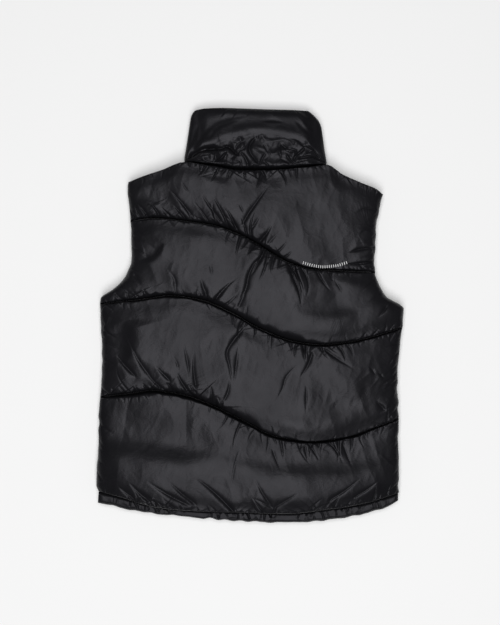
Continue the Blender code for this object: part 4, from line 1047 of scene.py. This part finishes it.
def add_front(name, side, seed):
    """A front: its channels one above the other, settled against the floor, then creased.

    It repeats the back's creases that lie wholly on its side. side is -1 for the left and 1 for the right.
    """
    tip = FRONT_EDGES[side][-1].x
    corner = ((NECK_LEFT if side < 0 else NECK_RIGHT) - tip) / (side * CENTRE_FRONT - tip)
    width = abs(side * CENTRE_FRONT - tip)
    across = even_steps(width, 0.02, lambda t: shoulder_of(t * width, SIDE_ROUNDING), FRONT_STEP)
    across[np.argmin(np.abs(across - corner))] = corner
    lines = [front_line(SEAMS[seam], side, across) for seam in FRONT_CHANNELS]
    lines.append(front_line(FRONT_TOP_EDGE[side], side, across))
    lines[0][:, 1] = moved_across(lines[0][:, 0], lines[0][:, 1], SEAM_GAP / 2)
    lines[-1][:, 1] = moved_across(lines[-1][:, 0], lines[-1][:, 1], -SEAM_GAP / 2)
    parts = {"places": [], "rise": [], "xx": [], "xy": [], "yy": []}
    sewn, count = [], 0
    for number, (lower, upper) in enumerate(zip(lines[:-1], lines[1:])):
        up = even_steps(
            FRONT_CHANNEL, 0.02, lambda t: shoulder_of(FRONT_CHANNEL * np.minimum(t, 1 - t), 0.010),
            FRONT_STEP,
        )
        up = up if upper is lines[-1] else up[:-1]
        outer = side_points(FRONT_EDGES[side], lower[0, 1], upper[0, 1], up)
        middle = np.column_stack([
            np.full(len(up), side * CENTRE_FRONT), lower[-1, 1] + (upper[-1, 1] - lower[-1, 1]) * up,
        ])
        patch = coons_patch(lower, upper, outer, middle, across, up)
        x, below, above = patch[..., 0], patch[..., 1] - lower[:, 1], upper[:, 1] - patch[..., 1]
        low_rise, low_extra = sewn_edge(x, below, FRONT_GATHERS, FRONT_BANKS, seed + 40 * number)
        high_rise, high_extra = sewn_edge(x, above, FRONT_GATHERS, FRONT_BANKS, seed + 40 * number + 20)
        rise = low_rise * high_rise * (0.8 + 0.2 * dome(up)[:, None])
        extra = [one + other for one, other in zip(low_extra, high_extra)]
        for key, value in zip(("places", "rise", "xx", "xy", "yy"), (patch, rise, *extra)):
            parts[key].append(value)
        count += len(up)
        sewn.append(count)
    parts = {key: np.concatenate(value) for key, value in parts.items()}
    x = parts["places"][..., 0]
    to_side, to_middle = np.abs(x - x[:, :1]), np.abs(x - side * CENTRE_FRONT)
    rounding = shoulder_of(to_side, SIDE_ROUNDING) * shoulder_of(to_middle, SIDE_ROUNDING / 3)
    depth = SEAM_THICKNESS + FRONT_PUFF * parts["rise"] * rounding
    smooth = np.dstack([parts["places"], np.maximum(FRONT_TOP - depth, 0.0)])
    extra = [parts[key] for key in ("xx", "xy", "yy")]
    if side > 0:
        smooth, extra = smooth[:, ::-1], [part[:, ::-1] for part in extra]
    nudge = 0.0003 * cloud(smooth[..., 0], smooth[..., 1], 0.012, seed + 9)
    cloth = refined(settle(smooth, nudge, extra, turned=-1, held=sewn[:-1], floor=0.0, steps=260))
    x, y = plan_of(cloth)
    creases = [
        crease for rows in CREASES.values() for crease in rows
        if min(side * at.x for at in crease.path) > 0.02
    ]
    for number, seam in enumerate(FRONT_CHANNELS):
        points = [point for point in SEAMS[seam] if side * point.x > 0]
        creases += sewn_creases(points, FRONT_GATHERS, 1, seed + 60 + number)
        creases += sewn_creases(points, FRONT_GATHERS, -1, seed + 70 + number) if number else []
    cloth[1:-1, 1:-1, 2] -= (crease_relief(x, y, creases) + crumples(x, y, seed + 50))[1:-1, 1:-1]
    cloth[1:-1, 1:-1, 2] = np.clip(cloth[1:-1, 1:-1, 2], 0.0, FRONT_TOP - LEAST_FRONT)
    piece = padded_piece(f"{name}_cloth", cloth, FRONT_TOP, SHELL_CLOTH, turned=-1)
    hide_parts(name)


add_front("front_left", -1, 1000)
add_front("front_right", 1, 2000)

# ---------------------------------------------------------------- collar
# One padded band of the same nylon runs from the zip round both turned sides. At the back it folds over in a
# curve above the neck seam, and the cloth below that curve is crushed into small hard creases.

COLLAR_LEFT = points_at(
    (-121.9, 286.5), (-119.1, 306.6), (-115.1, 332.8), (-111.6, 359.1), (-108.8, 376.9), (-104, 383.5),
)
COLLAR_RIGHT = points_at(
    (142.5, 282), (138.8, 300.9), (135, 329.1), (131.3, 356.3), (120.9, 372.2), (110, 382.6),
)
COLLAR_TOP = points_at(
    (-104, 383.5), (-84.4, 387.2), (-52.5, 388), (-9.4, 386.8), (37.5, 385.2), (93.8, 383.6), (110, 382.6),
)
COLLAR_ARC = points_at(
    (-118, 293.5), (-80, 310), (-41, 329), (15, 338.4), (65.6, 332.8), (106.9, 317.8), (140, 290),
)
COLLAR_FRONT_HEIGHT = 0.104
COLLAR_ROUNDING = 0.045       # how far in from its turned sides the front of the collar still swells
COLLAR_FRONT_WIDTH = 0.125    # from a turned side to the zip, about
COLLAR_CREST = 0.0125         # padding below the curve where the collar folds over
CREST_RISE = 0.0025           # and how much more there is above it
COLLAR_PUFF = 0.026           # padding of the collar's front
NECK_ROWS, BAND_ROWS = 26, 20
COLLAR_CREASE_STRENGTH = 1.30
DEEPEST_COLLAR_CREASE = 0.0120
LEAST_COLLAR = 0.0030
TOP_THICKNESS = 0.0075
FOLD_LEVEL = FRONT_TOP + 0.00015
FOLD_INSET = 0.0060
COLLAR_CREASES = creases_of(
    (13, 4.8, 0.2, 0.3, (-120, 288.8), (-103.1, 300.9), (-88.1, 307.9), (-71.2, 310.5),
     (-52.5, 311), (-41.2, 316.5)),
    (9, 3.2, 0.3, 0.15, (-50, 316), (-37.5, 312.5), (-29.1, 304.5), (-21.9, 296.1)),
    (3.4, 1.9, 0.05, 0.35, (-21.9, 296.4), (-21.4, 303.9), (-16.9, 307.9), (-9.4, 310.3)),
    (2.6, 1.5, 0.15, 0.3, (-112.5, 294.6), (-97.5, 303.9), (-80.6, 306.2)),
    (3.6, 1.7, 0.25, 0.2, (-91.9, 296.8), (-82.5, 298.3), (-72.2, 299.1)),
    (4.4, 2.1, 0.2, 0.2, (-42, 306.2), (-49.7, 297.2), (-58.1, 289.7), (-67.5, 284.8)),
    (2, 1.7, 0.3, 0.3, (-71.2, 306.6), (-67.5, 297.2), (-69.4, 289.7)),
    (2.2, 1.5, 0.2, 0.2, (-60.9, 306.6), (-57.7, 302.9), (-54.4, 299.1)),
    (3.2, 1.8, 0.2, 0.15, (-99.4, 291.6), (-84.4, 285.9), (-69.4, 281.1), (-54.4, 277.7)),
    (1.8, 1.4, 0.2, 0.2, (-86.2, 293.4), (-76.9, 287.8), (-67.5, 285.9)),
    (-4, 2.1, 0.15, 0.05, (-18.4, 304.7), (-12.4, 298.7), (-6.7, 290.4), (-3.7, 282.2), (-3.7, 275.8)),
    (2, 1.5, 0.2, 0.1, (-20.6, 289.7), (-16.9, 284.1), (-17.8, 276.6)),
    (5, 2.6, 0.15, 0.1, (11.2, 331.7), (3, 323.4), (-1.9, 312.2), (0.8, 301.7),
     (8.3, 291.6), (15.7, 280.3)),
    (2.2, 2.4, 0.3, 0.2, (-7.5, 326.2), (-18.7, 321.6), (-26.2, 312.2), (-28.1, 305.6)),
    (1.6, 1.8, 0.3, 0.2, (-8.4, 320.6), (-10.3, 314.1), (-15, 309.4)),
    (-1.8, 1.4, 0.1, 0.5, (13.1, 334.7), (14.5, 331.3), (15.7, 327.9)),
    (1.7, 1.9, 0.2, 0.4, (22.5, 323.4), (30, 310.3), (36.4, 299.1), (39.4, 291.6)),
    (3, 1.9, 0.2, 0.1, (30, 303.6), (23.6, 294.2), (19.5, 285.9), (16.9, 277.3)),
    (-3, 1.7, 0.15, 0.05, (25.1, 287.1), (31.9, 281.1), (34.9, 274.7)),
    (-2.4, 2.6, 0.2, 0.3, (55.5, 323.4), (54.4, 312.2), (56.2, 300.9), (60, 291.6)),
    (3.8, 2.1, 0.1, 0.15, (58.1, 318.9), (65.6, 311.8), (76.9, 309.2), (90, 305.8)),
    (2.2, 1.4, 0.2, 0.3, (64.9, 307.3), (73.1, 304.7), (84.4, 303.6)),
    (-3.3, 1.7, 0.15, 0.15, (66.8, 301.7), (72.4, 292.7), (80.6, 283.3), (91.9, 278.4)),
    (2, 1.3, 0.2, 0.2, (72.4, 299.1), (80.6, 289.7), (90, 281.4), (99.4, 277.7)),
    (4, 2.2, 0.1, 0.15, (102.4, 312.9), (93.8, 304.7), (84.4, 296.4), (79.9, 287.8)),
    (5, 2.3, 0.1, 0.05, (87.4, 290.4), (99.4, 294.2), (112.5, 295.3), (123.7, 292.7), (140.6, 284.1)),
    (2.6, 1.4, 0.2, 0.25, (85.5, 283.3), (93.8, 287.1), (106.9, 288.9)),
    (-3.4, 1.7, 0.2, 0.15, (98.6, 316.7), (110.6, 313.3), (120, 306.6), (127.5, 296.4), (131.3, 291.6)),
    (2.6, 1.5, 0.2, 0.3, (96.8, 297.9), (106.9, 302.8), (117.4, 308.4)),
    (2, 1.7, 0.2, 0.15, (56.2, 292.7), (63.8, 288.6), (73.1, 282.2), (76.9, 276.6)),
    (1.4, 1.4, 0.3, 0.2, (-41.2, 290.6), (-31.9, 291.2), (-20.6, 289.7)),
    (-1.4, 1.5, 0.2, 0.3, (-45.9, 285.9), (-45, 295.3), (-39.4, 302.8)),
    (2.2, 1.4, 0.2, 0.1, (3.7, 285.9), (7, 281.6), (10.3, 277.3)),
    (1.8, 1.4, 0.2, 0.2, (108.7, 284.1), (120, 285.9), (131.3, 285.9)),
)
COLLAR_SWELLS = creases_of(
    (0.9, 4.5, 0.3, 0.3, (-91.9, 323.4), (-78.8, 342.2), (-60, 357.2), (-33.8, 365.6), (-7.5, 369.4)),
    (0.8, 4, 0.3, 0.4, (-75, 327.2), (-61.9, 345.9), (-39.4, 357.2), (-18.7, 362.8)),
    (0.8, 2.6, 0.4, 0.4, (22.5, 360.9), (41.2, 360.6), (61.9, 359.1)),
    (1.2, 3, 0.3, 0.3, (95.6, 366.6), (106.9, 354.4), (118.1, 342.2)),
    (0.8, 3.4, 0.4, 0.4, (82.5, 362.8), (95.6, 348.8), (110.6, 334.7)),
    (1.2, 5, 0.3, 0.3, (-101.2, 370.3), (-95.6, 344.1), (-97.5, 317.8)),
    (1, 4, 0.3, 0.3, (125.6, 357.2), (129.4, 329.1), (135, 302.8)),
    (0.8, 3.4, 0.3, 0.3, (67.5, 332.8), (88.1, 325.3), (110.6, 314.1)),
    (1, 3, 0.3, 0.4, (-112.5, 310.3), (-101.2, 332.8), (-95.6, 355.3)),
    (0.8, 2.6, 0.3, 0.4, (-106.9, 302.8), (-93.8, 321.6), (-82.5, 330.9)),
)
COLLAR_TOP_GATHERS = gathers_of((-110, 3, 8, 0), (0, 5, 12, -0.3), (110, 4, 10, 0.4))


def shell_between(name, outer, inner, material):
    """Closed padded piece between two grids of the same rows and columns."""
    rows, columns = outer.shape[:2]
    count = rows * columns
    rim = rim_of(rows, columns)
    ahead = np.roll(rim, -1)
    faces = np.concatenate([
        grid_faces(rows, columns), grid_faces(rows, columns, first=count, flipped=True),
        np.column_stack([rim, rim + count, ahead + count, ahead]),
    ])
    mesh = mesh_of(name, np.concatenate([outer, inner]), faces.tolist())
    u, v = along_rows(outer)
    cloth_map(mesh, np.tile(u, 2), np.tile(v, 2))
    return add_piece(name, mesh, material)


def add_collar():
    """The band: left front, round the left fold, back, round the right fold, right front.

    Its rows run from the neck seam up to the curve where the collar folds over, and from there to the top.
    """
    edge_y = [points[0].y + SEAM_GAP / 2 for points in (COLLAR_LEFT, COLLAR_RIGHT)]
    top_y = [points[-1].y for points in (COLLAR_LEFT, COLLAR_RIGHT)]
    width = NECK_RIGHT - NECK_LEFT
    w = even_steps(width, 0.02, lambda t: shoulder_of(np.minimum(t, 1 - t) * width, 0.012), 0.0026)
    neck_share, band_share = np.linspace(0, 1, NECK_ROWS), np.linspace(0, 1, BAND_ROWS + 1)[1:]
    seam_x = NECK_LEFT + width * w
    neck_y = moved_across(seam_x, through(SEAMS["shoulder"], seam_x), SEAM_GAP / 2)
    upper_x = COLLAR_TOP[0].x + (COLLAR_TOP[-1].x - COLLAR_TOP[0].x) * w
    upper_y = through(COLLAR_TOP, upper_x)
    arc_y = through(COLLAR_ARC, np.clip(seam_x, COLLAR_ARC[0].x, COLLAR_ARC[-1].x))
    arc_at = (arc_y - neck_y) / (upper_y - neck_y)
    rise = np.vstack([neck_share[:, None] * arc_at, arc_at + band_share[:, None] * (1 - arc_at)])
    back_y = neck_y + rise * (upper_y - neck_y)
    left_x = through(COLLAR_LEFT, back_y[:, 0], along="y")[:, None]
    right_x = through(COLLAR_RIGHT, back_y[:, -1], along="y")[:, None]
    back_x = left_x + (right_x - left_x) * w
    to_side = np.minimum(back_x - left_x, right_x - back_x)
    over_seam, over_arc, under_top = back_y - neck_y, back_y - arc_y, upper_y - back_y
    crest = COLLAR_CREST + CREST_RISE * shoulder_of(np.maximum(over_arc, 0), 0.005)
    sag = np.clip((over_arc - 0.004) / 0.021, 0, 1)
    crest -= 0.0028 * sag * sag * (3 - 2 * sag) + 0.10 * np.clip(over_arc - 0.018, 0, None)
    depth = SEAM_THICKNESS + crest * shoulder_of(over_seam, 0.0014) * np.clip(over_seam.max(0) / 0.02, 0, 1)
    depth = TOP_THICKNESS + (depth - TOP_THICKNESS) * np.where(over_arc > 0, shoulder_of(under_top, 0.017), 1)
    inward = np.clip((to_side - 0.011) / 0.020, 0, 1)
    depth *= 0.62 * shoulder_of(to_side, 0.006) + 0.38 * inward * inward * (3 - 2 * inward)
    depth[0, 1:-1] = SEAM_THICKNESS * shoulder_of(to_side, 0.012)[0, 1:-1]
    back_z = np.where(to_side > 0, BACK_BASE + depth, FOLD_LEVEL)

    outer_runs, inner_runs = {}, {}
    f = even_steps(
        COLLAR_FRONT_WIDTH, 0.022, lambda t: shoulder_of(t * COLLAR_FRONT_WIDTH, COLLAR_ROUNDING), 0.0050,
    )[None, 1:]
    for side, points, turn_x, end in ((-1, COLLAR_LEFT, left_x, 0), (1, COLLAR_RIGHT, right_x, -1)):
        neck_x = points[0].x + (side * CENTRE_FRONT - points[0].x) * f
        low_y = through(FRONT_TOP_EDGE[side], neck_x[0])
        order = np.argsort(neck_x[0])
        low_y[order] = moved_across(neck_x[0][order], low_y[order], SEAM_GAP / 2)
        middle_top = low_y[-1] + COLLAR_FRONT_HEIGHT
        high_y = middle_top + (top_y[end] - middle_top) * (1 - f[0]) ** 1.6
        share = np.clip((back_y[:, end] - edge_y[end]) / (top_y[end] - edge_y[end]), 0, 1)[:, None]
        y = low_y + share * (high_y - low_y)
        x = turn_x + (side * CENTRE_FRONT - turn_x) * f
        rounding = shoulder_of(np.abs(x - turn_x), COLLAR_ROUNDING)
        near_zip = shoulder_of(np.abs(x - side * CENTRE_FRONT), SIDE_ROUNDING / 3)
        z = np.maximum(FRONT_TOP - (SEAM_THICKNESS + COLLAR_PUFF * dome(share) * near_zip) * rounding, 0.0)
        inner_x = side * CENTRE_FRONT + (x - side * CENTRE_FRONT) * (1 - FOLD_INSET / np.abs(turn_x))
        outer_runs[side] = np.dstack([x, y, z])
        inner_runs[side] = np.dstack([inner_x, y, np.full_like(z, FRONT_TOP)])

    middle_x = (left_x + right_x) / 2
    inner_x = middle_x + (back_x - middle_x) * (1 - 2 * FOLD_INSET / (right_x - left_x))
    inner_back = np.dstack([inner_x, back_y, np.where(to_side > 0, BACK_BASE, FOLD_LEVEL)])
    outer_back = np.dstack([back_x, back_y, back_z])
    outer = np.concatenate([outer_runs[-1][:, ::-1], outer_back, outer_runs[1]], axis=1)
    inner = np.concatenate([inner_runs[-1][:, ::-1], inner_back, inner_runs[1]], axis=1)

    x, y = outer[..., 0], outer[..., 1]
    to_end = np.minimum(np.arange(len(rise)), len(rise) - 1 - np.arange(len(rise)))
    sewn = 0.03 * np.exp(-(to_end / 3.0) ** 2)[:, None] * np.ones_like(x)
    nudge = 0.0004 * cloud(x, y, 0.010, 75)
    cloth = settle(outer, nudge, (sewn, 0 * x, 0 * x), floor=0.0, steps=160, filling=4e-3)
    cloth, inner = refined(cloth), refined(inner)
    first = 2 * f.shape[1]
    back = slice(first, first + 2 * len(w) - 1)
    x, y = plan_of(cloth[:, back])
    rows, last = np.arange(len(cloth)), 2 * NECK_ROWS - 2
    crescent = shoulder_of(np.clip(np.minimum(rows, last - rows), 0, None) / last, 0.14)
    crushed = 0.0030 * ridges(x + 0.5 * y, y - 0.2 * x, 0.021, 71)
    crushed += 0.0010 * ridges(x - 0.3 * y, y + 0.4 * x, 0.011, 72)
    relief = crescent[:, None] * crushed + COLLAR_CREASE_STRENGTH * crease_relief(x, y, COLLAR_CREASES)
    relief += 0.4 * crumples(x, y, 73)
    relief += crease_relief(x, y, COLLAR_SWELLS, long_bank)
    relief += crease_relief(x, y, sewn_creases(COLLAR_TOP, COLLAR_TOP_GATHERS, -1, 76))
    relief += streaks(x, y, y - 0.33, 77)
    relief = levelled(relief, DEEPEST_COLLAR_CREASE)
    off_edge = np.clip(np.minimum(rows, rows[-1] - rows) / 2.0, 0, 1)[:, None]
    cloth[:, back, 2] += off_edge * relief * shoulder_of(np.minimum(x - x[:, :1], x[:, -1:] - x), 0.008)
    floor = np.minimum(BACK_BASE + LEAST_COLLAR, refined(outer.astype(np.float32))[:, back, 2])
    cloth[1:-1, back, 2] = np.maximum(cloth[1:-1, back, 2], floor[1:-1])
    piece = shell_between("collar_cloth", cloth, inner.astype(np.float32), SHELL_CLOTH)
    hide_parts("collar")


add_collar()

# ---------------------------------------------------------------- hem bands
# A narrow band of the same nylon is sewn on below the hem seam and turned up. Elastic cord in it bunches
#  the cloth here and there, and it lies flat in between. Its colour is painted a little lighter than the
#  shell's.

BAND_EDGE = 0.0022            # thickness where it is sewn on
BAND_PUFF = 0.0050
BAND_STEP = 0.0022
BAND_LEAST, BAND_MOST = 0.0012, 0.0095        # thickness that no fold goes below or above
# The band's nylon is the shell's, with a rougher gloss and deeper crumples, but both its tones are painted
# about a tenth lighter: painted light, a brightening that stands for the stronger sheen on the band.
LIGHTENED_HEM_CLOTH = cloth_material("hem_nylon_painted_lighter", (0.0051, 0.0050, 0.0059), (0.0096, 0.0095, 0.0109), 0.42, 0.0008)
HEM_BUNCHES = (               # where the cord bunches the cloth: middle and half width
    (-0.2175, 0.006), (-0.192, 0.005), (-0.165, 0.019), (-0.060, 0.014), (-0.019, 0.015), (0.030, 0.010),
    (0.105, 0.013), (0.137, 0.010), (0.168, 0.011), (0.188, 0.004), (0.235, 0.006),
)


def band_creases(seed):
    """Folds right across the band: close together where it is bunched, and a few faint ones between."""
    draw = np.random.default_rng(seed)
    x = -0.28 + np.cumsum(draw.uniform(0.0022, 0.0050, 200))
    x = x[x < 0.272]
    inside = np.array([np.abs(x - middle) < half for middle, half in HEM_BUNCHES]).any(0)
    kept = np.flatnonzero(inside | (draw.random(len(x)) < 0.14))
    top, foot = through(SEAMS["hem"], x), through(SEAMS["bottom"], x)
    lean, share = draw.uniform(-0.006, 0.009, len(x)), draw.uniform(0.5, 1.0, len(x))
    ends = [(x + k * lean, top + k * share * (foot - top)) for k in (0.0, 0.5, 1.0)]
    height = np.where(inside, draw.uniform(0.0036, 0.0075, len(x)), 0.0016) * draw.choice([-1, 1], len(x))
    width = draw.uniform(0.0010, 0.0020, len(x))
    return drawn_creases(ends, height, width, 0.05, 0.35, kept)


def add_hem_band(name, low_x, high_x, layer, seed):
    """A stretch of the band between two x. layer is 1 for the back and -1 for a front."""
    hem, bottom = SEAMS["hem"], SEAMS["bottom"]
    columns = int((high_x - low_x) / BAND_STEP)
    across, up = np.linspace(0, 1, columns), np.linspace(0, 1, 11)
    x = low_x + (high_x - low_x) * across
    bottom_y = through(bottom, np.clip(x, bottom[0].x, bottom[-1].x)) + 0.0017 * wandering(x, 0.014, 5)
    lower = np.column_stack([x, bottom_y])
    seam_x = np.clip(x, hem[0].x, hem[-1].x)
    upper = np.column_stack([seam_x, moved_across(x, through(hem, seam_x), -SEAM_GAP / 2)])
    left = lower[0] + (upper[0] - lower[0]) * up[:, None]
    right = lower[-1] + (upper[-1] - lower[-1]) * up[:, None]
    places = coons_patch(lower, upper, left, right, across, up)
    level = BACK_BASE if layer > 0 else FRONT_TOP
    to_end = np.minimum(places[..., 0] - low_x, high_x - places[..., 0])
    depth = BAND_EDGE + BAND_PUFF * dome(up)[:, None] * shoulder_of(to_end, 0.008)
    smooth = np.dstack([places, level + layer * depth])
    extra = (0.03 * np.ones_like(depth), 0 * depth, 0 * depth)
    nudge = 0.0002 * cloud(places[..., 0], places[..., 1], 0.008, seed)
    cloth = refined(settle(smooth, nudge, extra, turned=layer, steps=120, filling=8e-3))
    x, y = plan_of(cloth)
    relief = crease_relief(x, y, band_creases(seed)) + 0.5 * crumples(x, y, seed + 5)
    cloth[1:-1, 1:-1, 2] += layer * relief[1:-1, 1:-1]
    low, high = sorted((level + layer * BAND_LEAST, level + layer * BAND_MOST))
    cloth[1:-1, 1:-1, 2] = np.clip(cloth[1:-1, 1:-1, 2], low, high)
    piece = padded_piece(f"{name}_cloth", cloth, level, LIGHTENED_HEM_CLOTH, turned=layer)
    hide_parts(name)
    return piece


hem_back = add_hem_band("hem_band_back", -0.2850, 0.2775, 1, 3000)
hem_left = add_hem_band("hem_band_front_left", -0.2850, -CENTRE_FRONT, -1, 3100)
hem_right = add_hem_band("hem_band_front_right", CENTRE_FRONT, 0.2775, -1, 3200)

# The allowances of the hem seam are turned in between the panels and the bands, and fill it.
HEM_STRIPS = (
    ("hem_strip_back", -0.2800, 0.2750, BACK_BASE + BAND_EDGE, 1),
    ("hem_strip_left", -0.2800, -0.0085, FRONT_TOP - BAND_EDGE, -1),
    ("hem_strip_right", 0.0085, 0.2750, FRONT_TOP - BAND_EDGE, -1),
)
for number, (strip, low_x, high_x, level, side) in enumerate(HEM_STRIPS):
    add_seam_strip(strip, "hem", low_x, high_x, level, side, 3300 + number)

# ---------------------------------------------------------------- front zip
# A moulded plastic zip on matt woven tapes joins the fronts from the hem to the collar's edge. Its teeth
# interlock left and right. The painted metal slider stands at the top, with its pull tab turned down.

ZIP_LEVEL = 0.0204
TOOTH_PITCH = 0.00165
TOOTH_ROOT = -0.0009          # where a tooth starts, just over the middle
TOOTH_REACH = 0.0037
TOOTH_HALF_WIDTH = 0.00072
ZIP_TAPE = plain_material("zip_tape_weave", (0.006, 0.006, 0.0068), 0.80, grain=0.0002)
ZIP_PLASTIC = plain_material("zip_plastic_black", (0.010, 0.010, 0.011), 0.35, grain=0.00002)
ZIP_METAL = plain_material("zip_metal_painted", (0.030, 0.030, 0.032), 0.32, metallic=0.9, grain=0.00002)


def add_teeth():
    """The closed chain: blocks with chamfered corners, reaching over the middle from each side in turn."""
    y = np.arange(-0.3752, 0.3226, TOOTH_PITCH)
    side = np.where(np.arange(len(y)) % 2 == 0, 1.0, -1.0)
    corner = np.array([
        (0, -0.6), (0.12, -1), (0.62, -1), (1, -0.55), (1, 0.55), (0.62, 1), (0.12, 1), (0, 0.6),
    ])
    plan = np.column_stack([TOOTH_ROOT + TOOTH_REACH * corner[:, 0], TOOTH_HALF_WIDTH * corner[:, 1]])
    levels = np.array([(-0.0013, 0.82), (-0.0009, 1.0), (0.0009, 1.0), (0.0013, 0.82)])
    centre = np.array([plan[:, 0].mean(), 0.0])
    rings = (plan[None] - centre) * levels[:, 1][:, None, None] + centre
    template = np.dstack([rings, np.broadcast_to(levels[:, :1], (4, 8))]).reshape(-1, 3)
    places = np.repeat(template[None], len(y), axis=0)
    places[..., 0] *= side[:, None]
    places[..., 1] += y[:, None]
    places[..., 2] += ZIP_LEVEL
    k, ahead = np.arange(8), (np.arange(8) + 1) % 8
    walls = np.concatenate([np.column_stack([k, ahead, ahead + 8, k + 8]) + 8 * ring for ring in range(3)])
    first = 32 * np.arange(len(y))
    caps = [list(range(start + 7, start - 1, -1)) for start in first]
    caps += [list(range(start + 24, start + 32)) for start in first]
    mesh = mesh_of("zip_chain", places, (walls + first[:, None, None]).reshape(-1, 4).tolist() + caps)
    turned_out(mesh)
    chain = add_piece("zip_chain", mesh, ZIP_PLASTIC)
    mesh.set_sharp_from_angle(angle=0.6)
    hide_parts("zip_teeth")


add_teeth()
for node_name, finish in (
    ("zip_tape_left", ZIP_TAPE), ("zip_tape_right", ZIP_TAPE), ("zip_box", ZIP_PLASTIC),
    ("zip_slider", ZIP_METAL), ("zip_pull", ZIP_METAL),
):
    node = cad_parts[node_name]
    node.data.materials.clear()
    node.data.materials.append(finish)

# ---------------------------------------------------------------- floor, light and camera
# A plain pale floor under one large soft light, which hangs 5 m up, a little towards the hem and the
# wearer's left. The camera looks straight down on the vest.

FLOOR_HALF = 8.0
FLOOR_LEVEL = -0.0002         # just clear of the fronts
floor_plan = np.array([(-1, -1), (1, -1), (1, 1), (-1, 1)]) * FLOOR_HALF
floor_mesh = mesh_of("floor", np.column_stack([floor_plan, np.full(4, FLOOR_LEVEL)]), [(0, 1, 2, 3)])
floor_material, _, floor_shader = new_material("pale_floor")
floor_shader.inputs["Base Color"].default_value = (0.86, 0.86, 0.86, 1.0)
floor_shader.inputs["Roughness"].default_value = 0.9
floor_shader.inputs["Specular IOR Level"].default_value = 0.0
floor_mesh.materials.append(floor_material)
floor = bpy.data.objects.new("floor", floor_mesh)
bpy.context.scene.collection.objects.link(floor)


def add_softbox(name, place, width, length, power):
    """A rectangular area light that faces the middle of the vest."""
    light = bpy.data.lights.new(name, "AREA")
    light.shape = "RECTANGLE"
    light.size, light.size_y = width, length
    light.energy = power
    lamp = bpy.data.objects.new(name, light)
    lamp.location = place
    lamp.rotation_euler = (-np.arctan2(place[1], place[2]), np.arctan2(place[0], place[2]), 0.0)
    lamp.visible_camera = False
    bpy.context.scene.collection.objects.link(lamp)


add_softbox("overhead_softbox", (-0.08, -0.55, 5.0), 2.30, 4.9, 288.0)

world = bpy.data.worlds.new("studio")
bpy.context.scene.world = world
world.use_nodes = True
world.node_tree.nodes["Background"].inputs["Color"].default_value = (1.0, 1.0, 1.0, 1.0)
world.node_tree.nodes["Background"].inputs["Strength"].default_value = 0.105

CAMERA_HEIGHT = 2.40          # above the level of the back's outline
VIEW_HEIGHT = 1.1719          # what the picture's height takes in at that level
camera_data = bpy.data.cameras.new("camera")
camera_data.lens = camera_data.sensor_width * CAMERA_HEIGHT / VIEW_HEIGHT
camera = bpy.data.objects.new("camera", camera_data)
camera.location = (0.0, 0.0056, CAMERA_HEIGHT + BACK_BASE)
bpy.context.scene.collection.objects.link(camera)
bpy.context.scene.camera = camera
bpy.context.scene.view_settings.view_transform = "Standard"
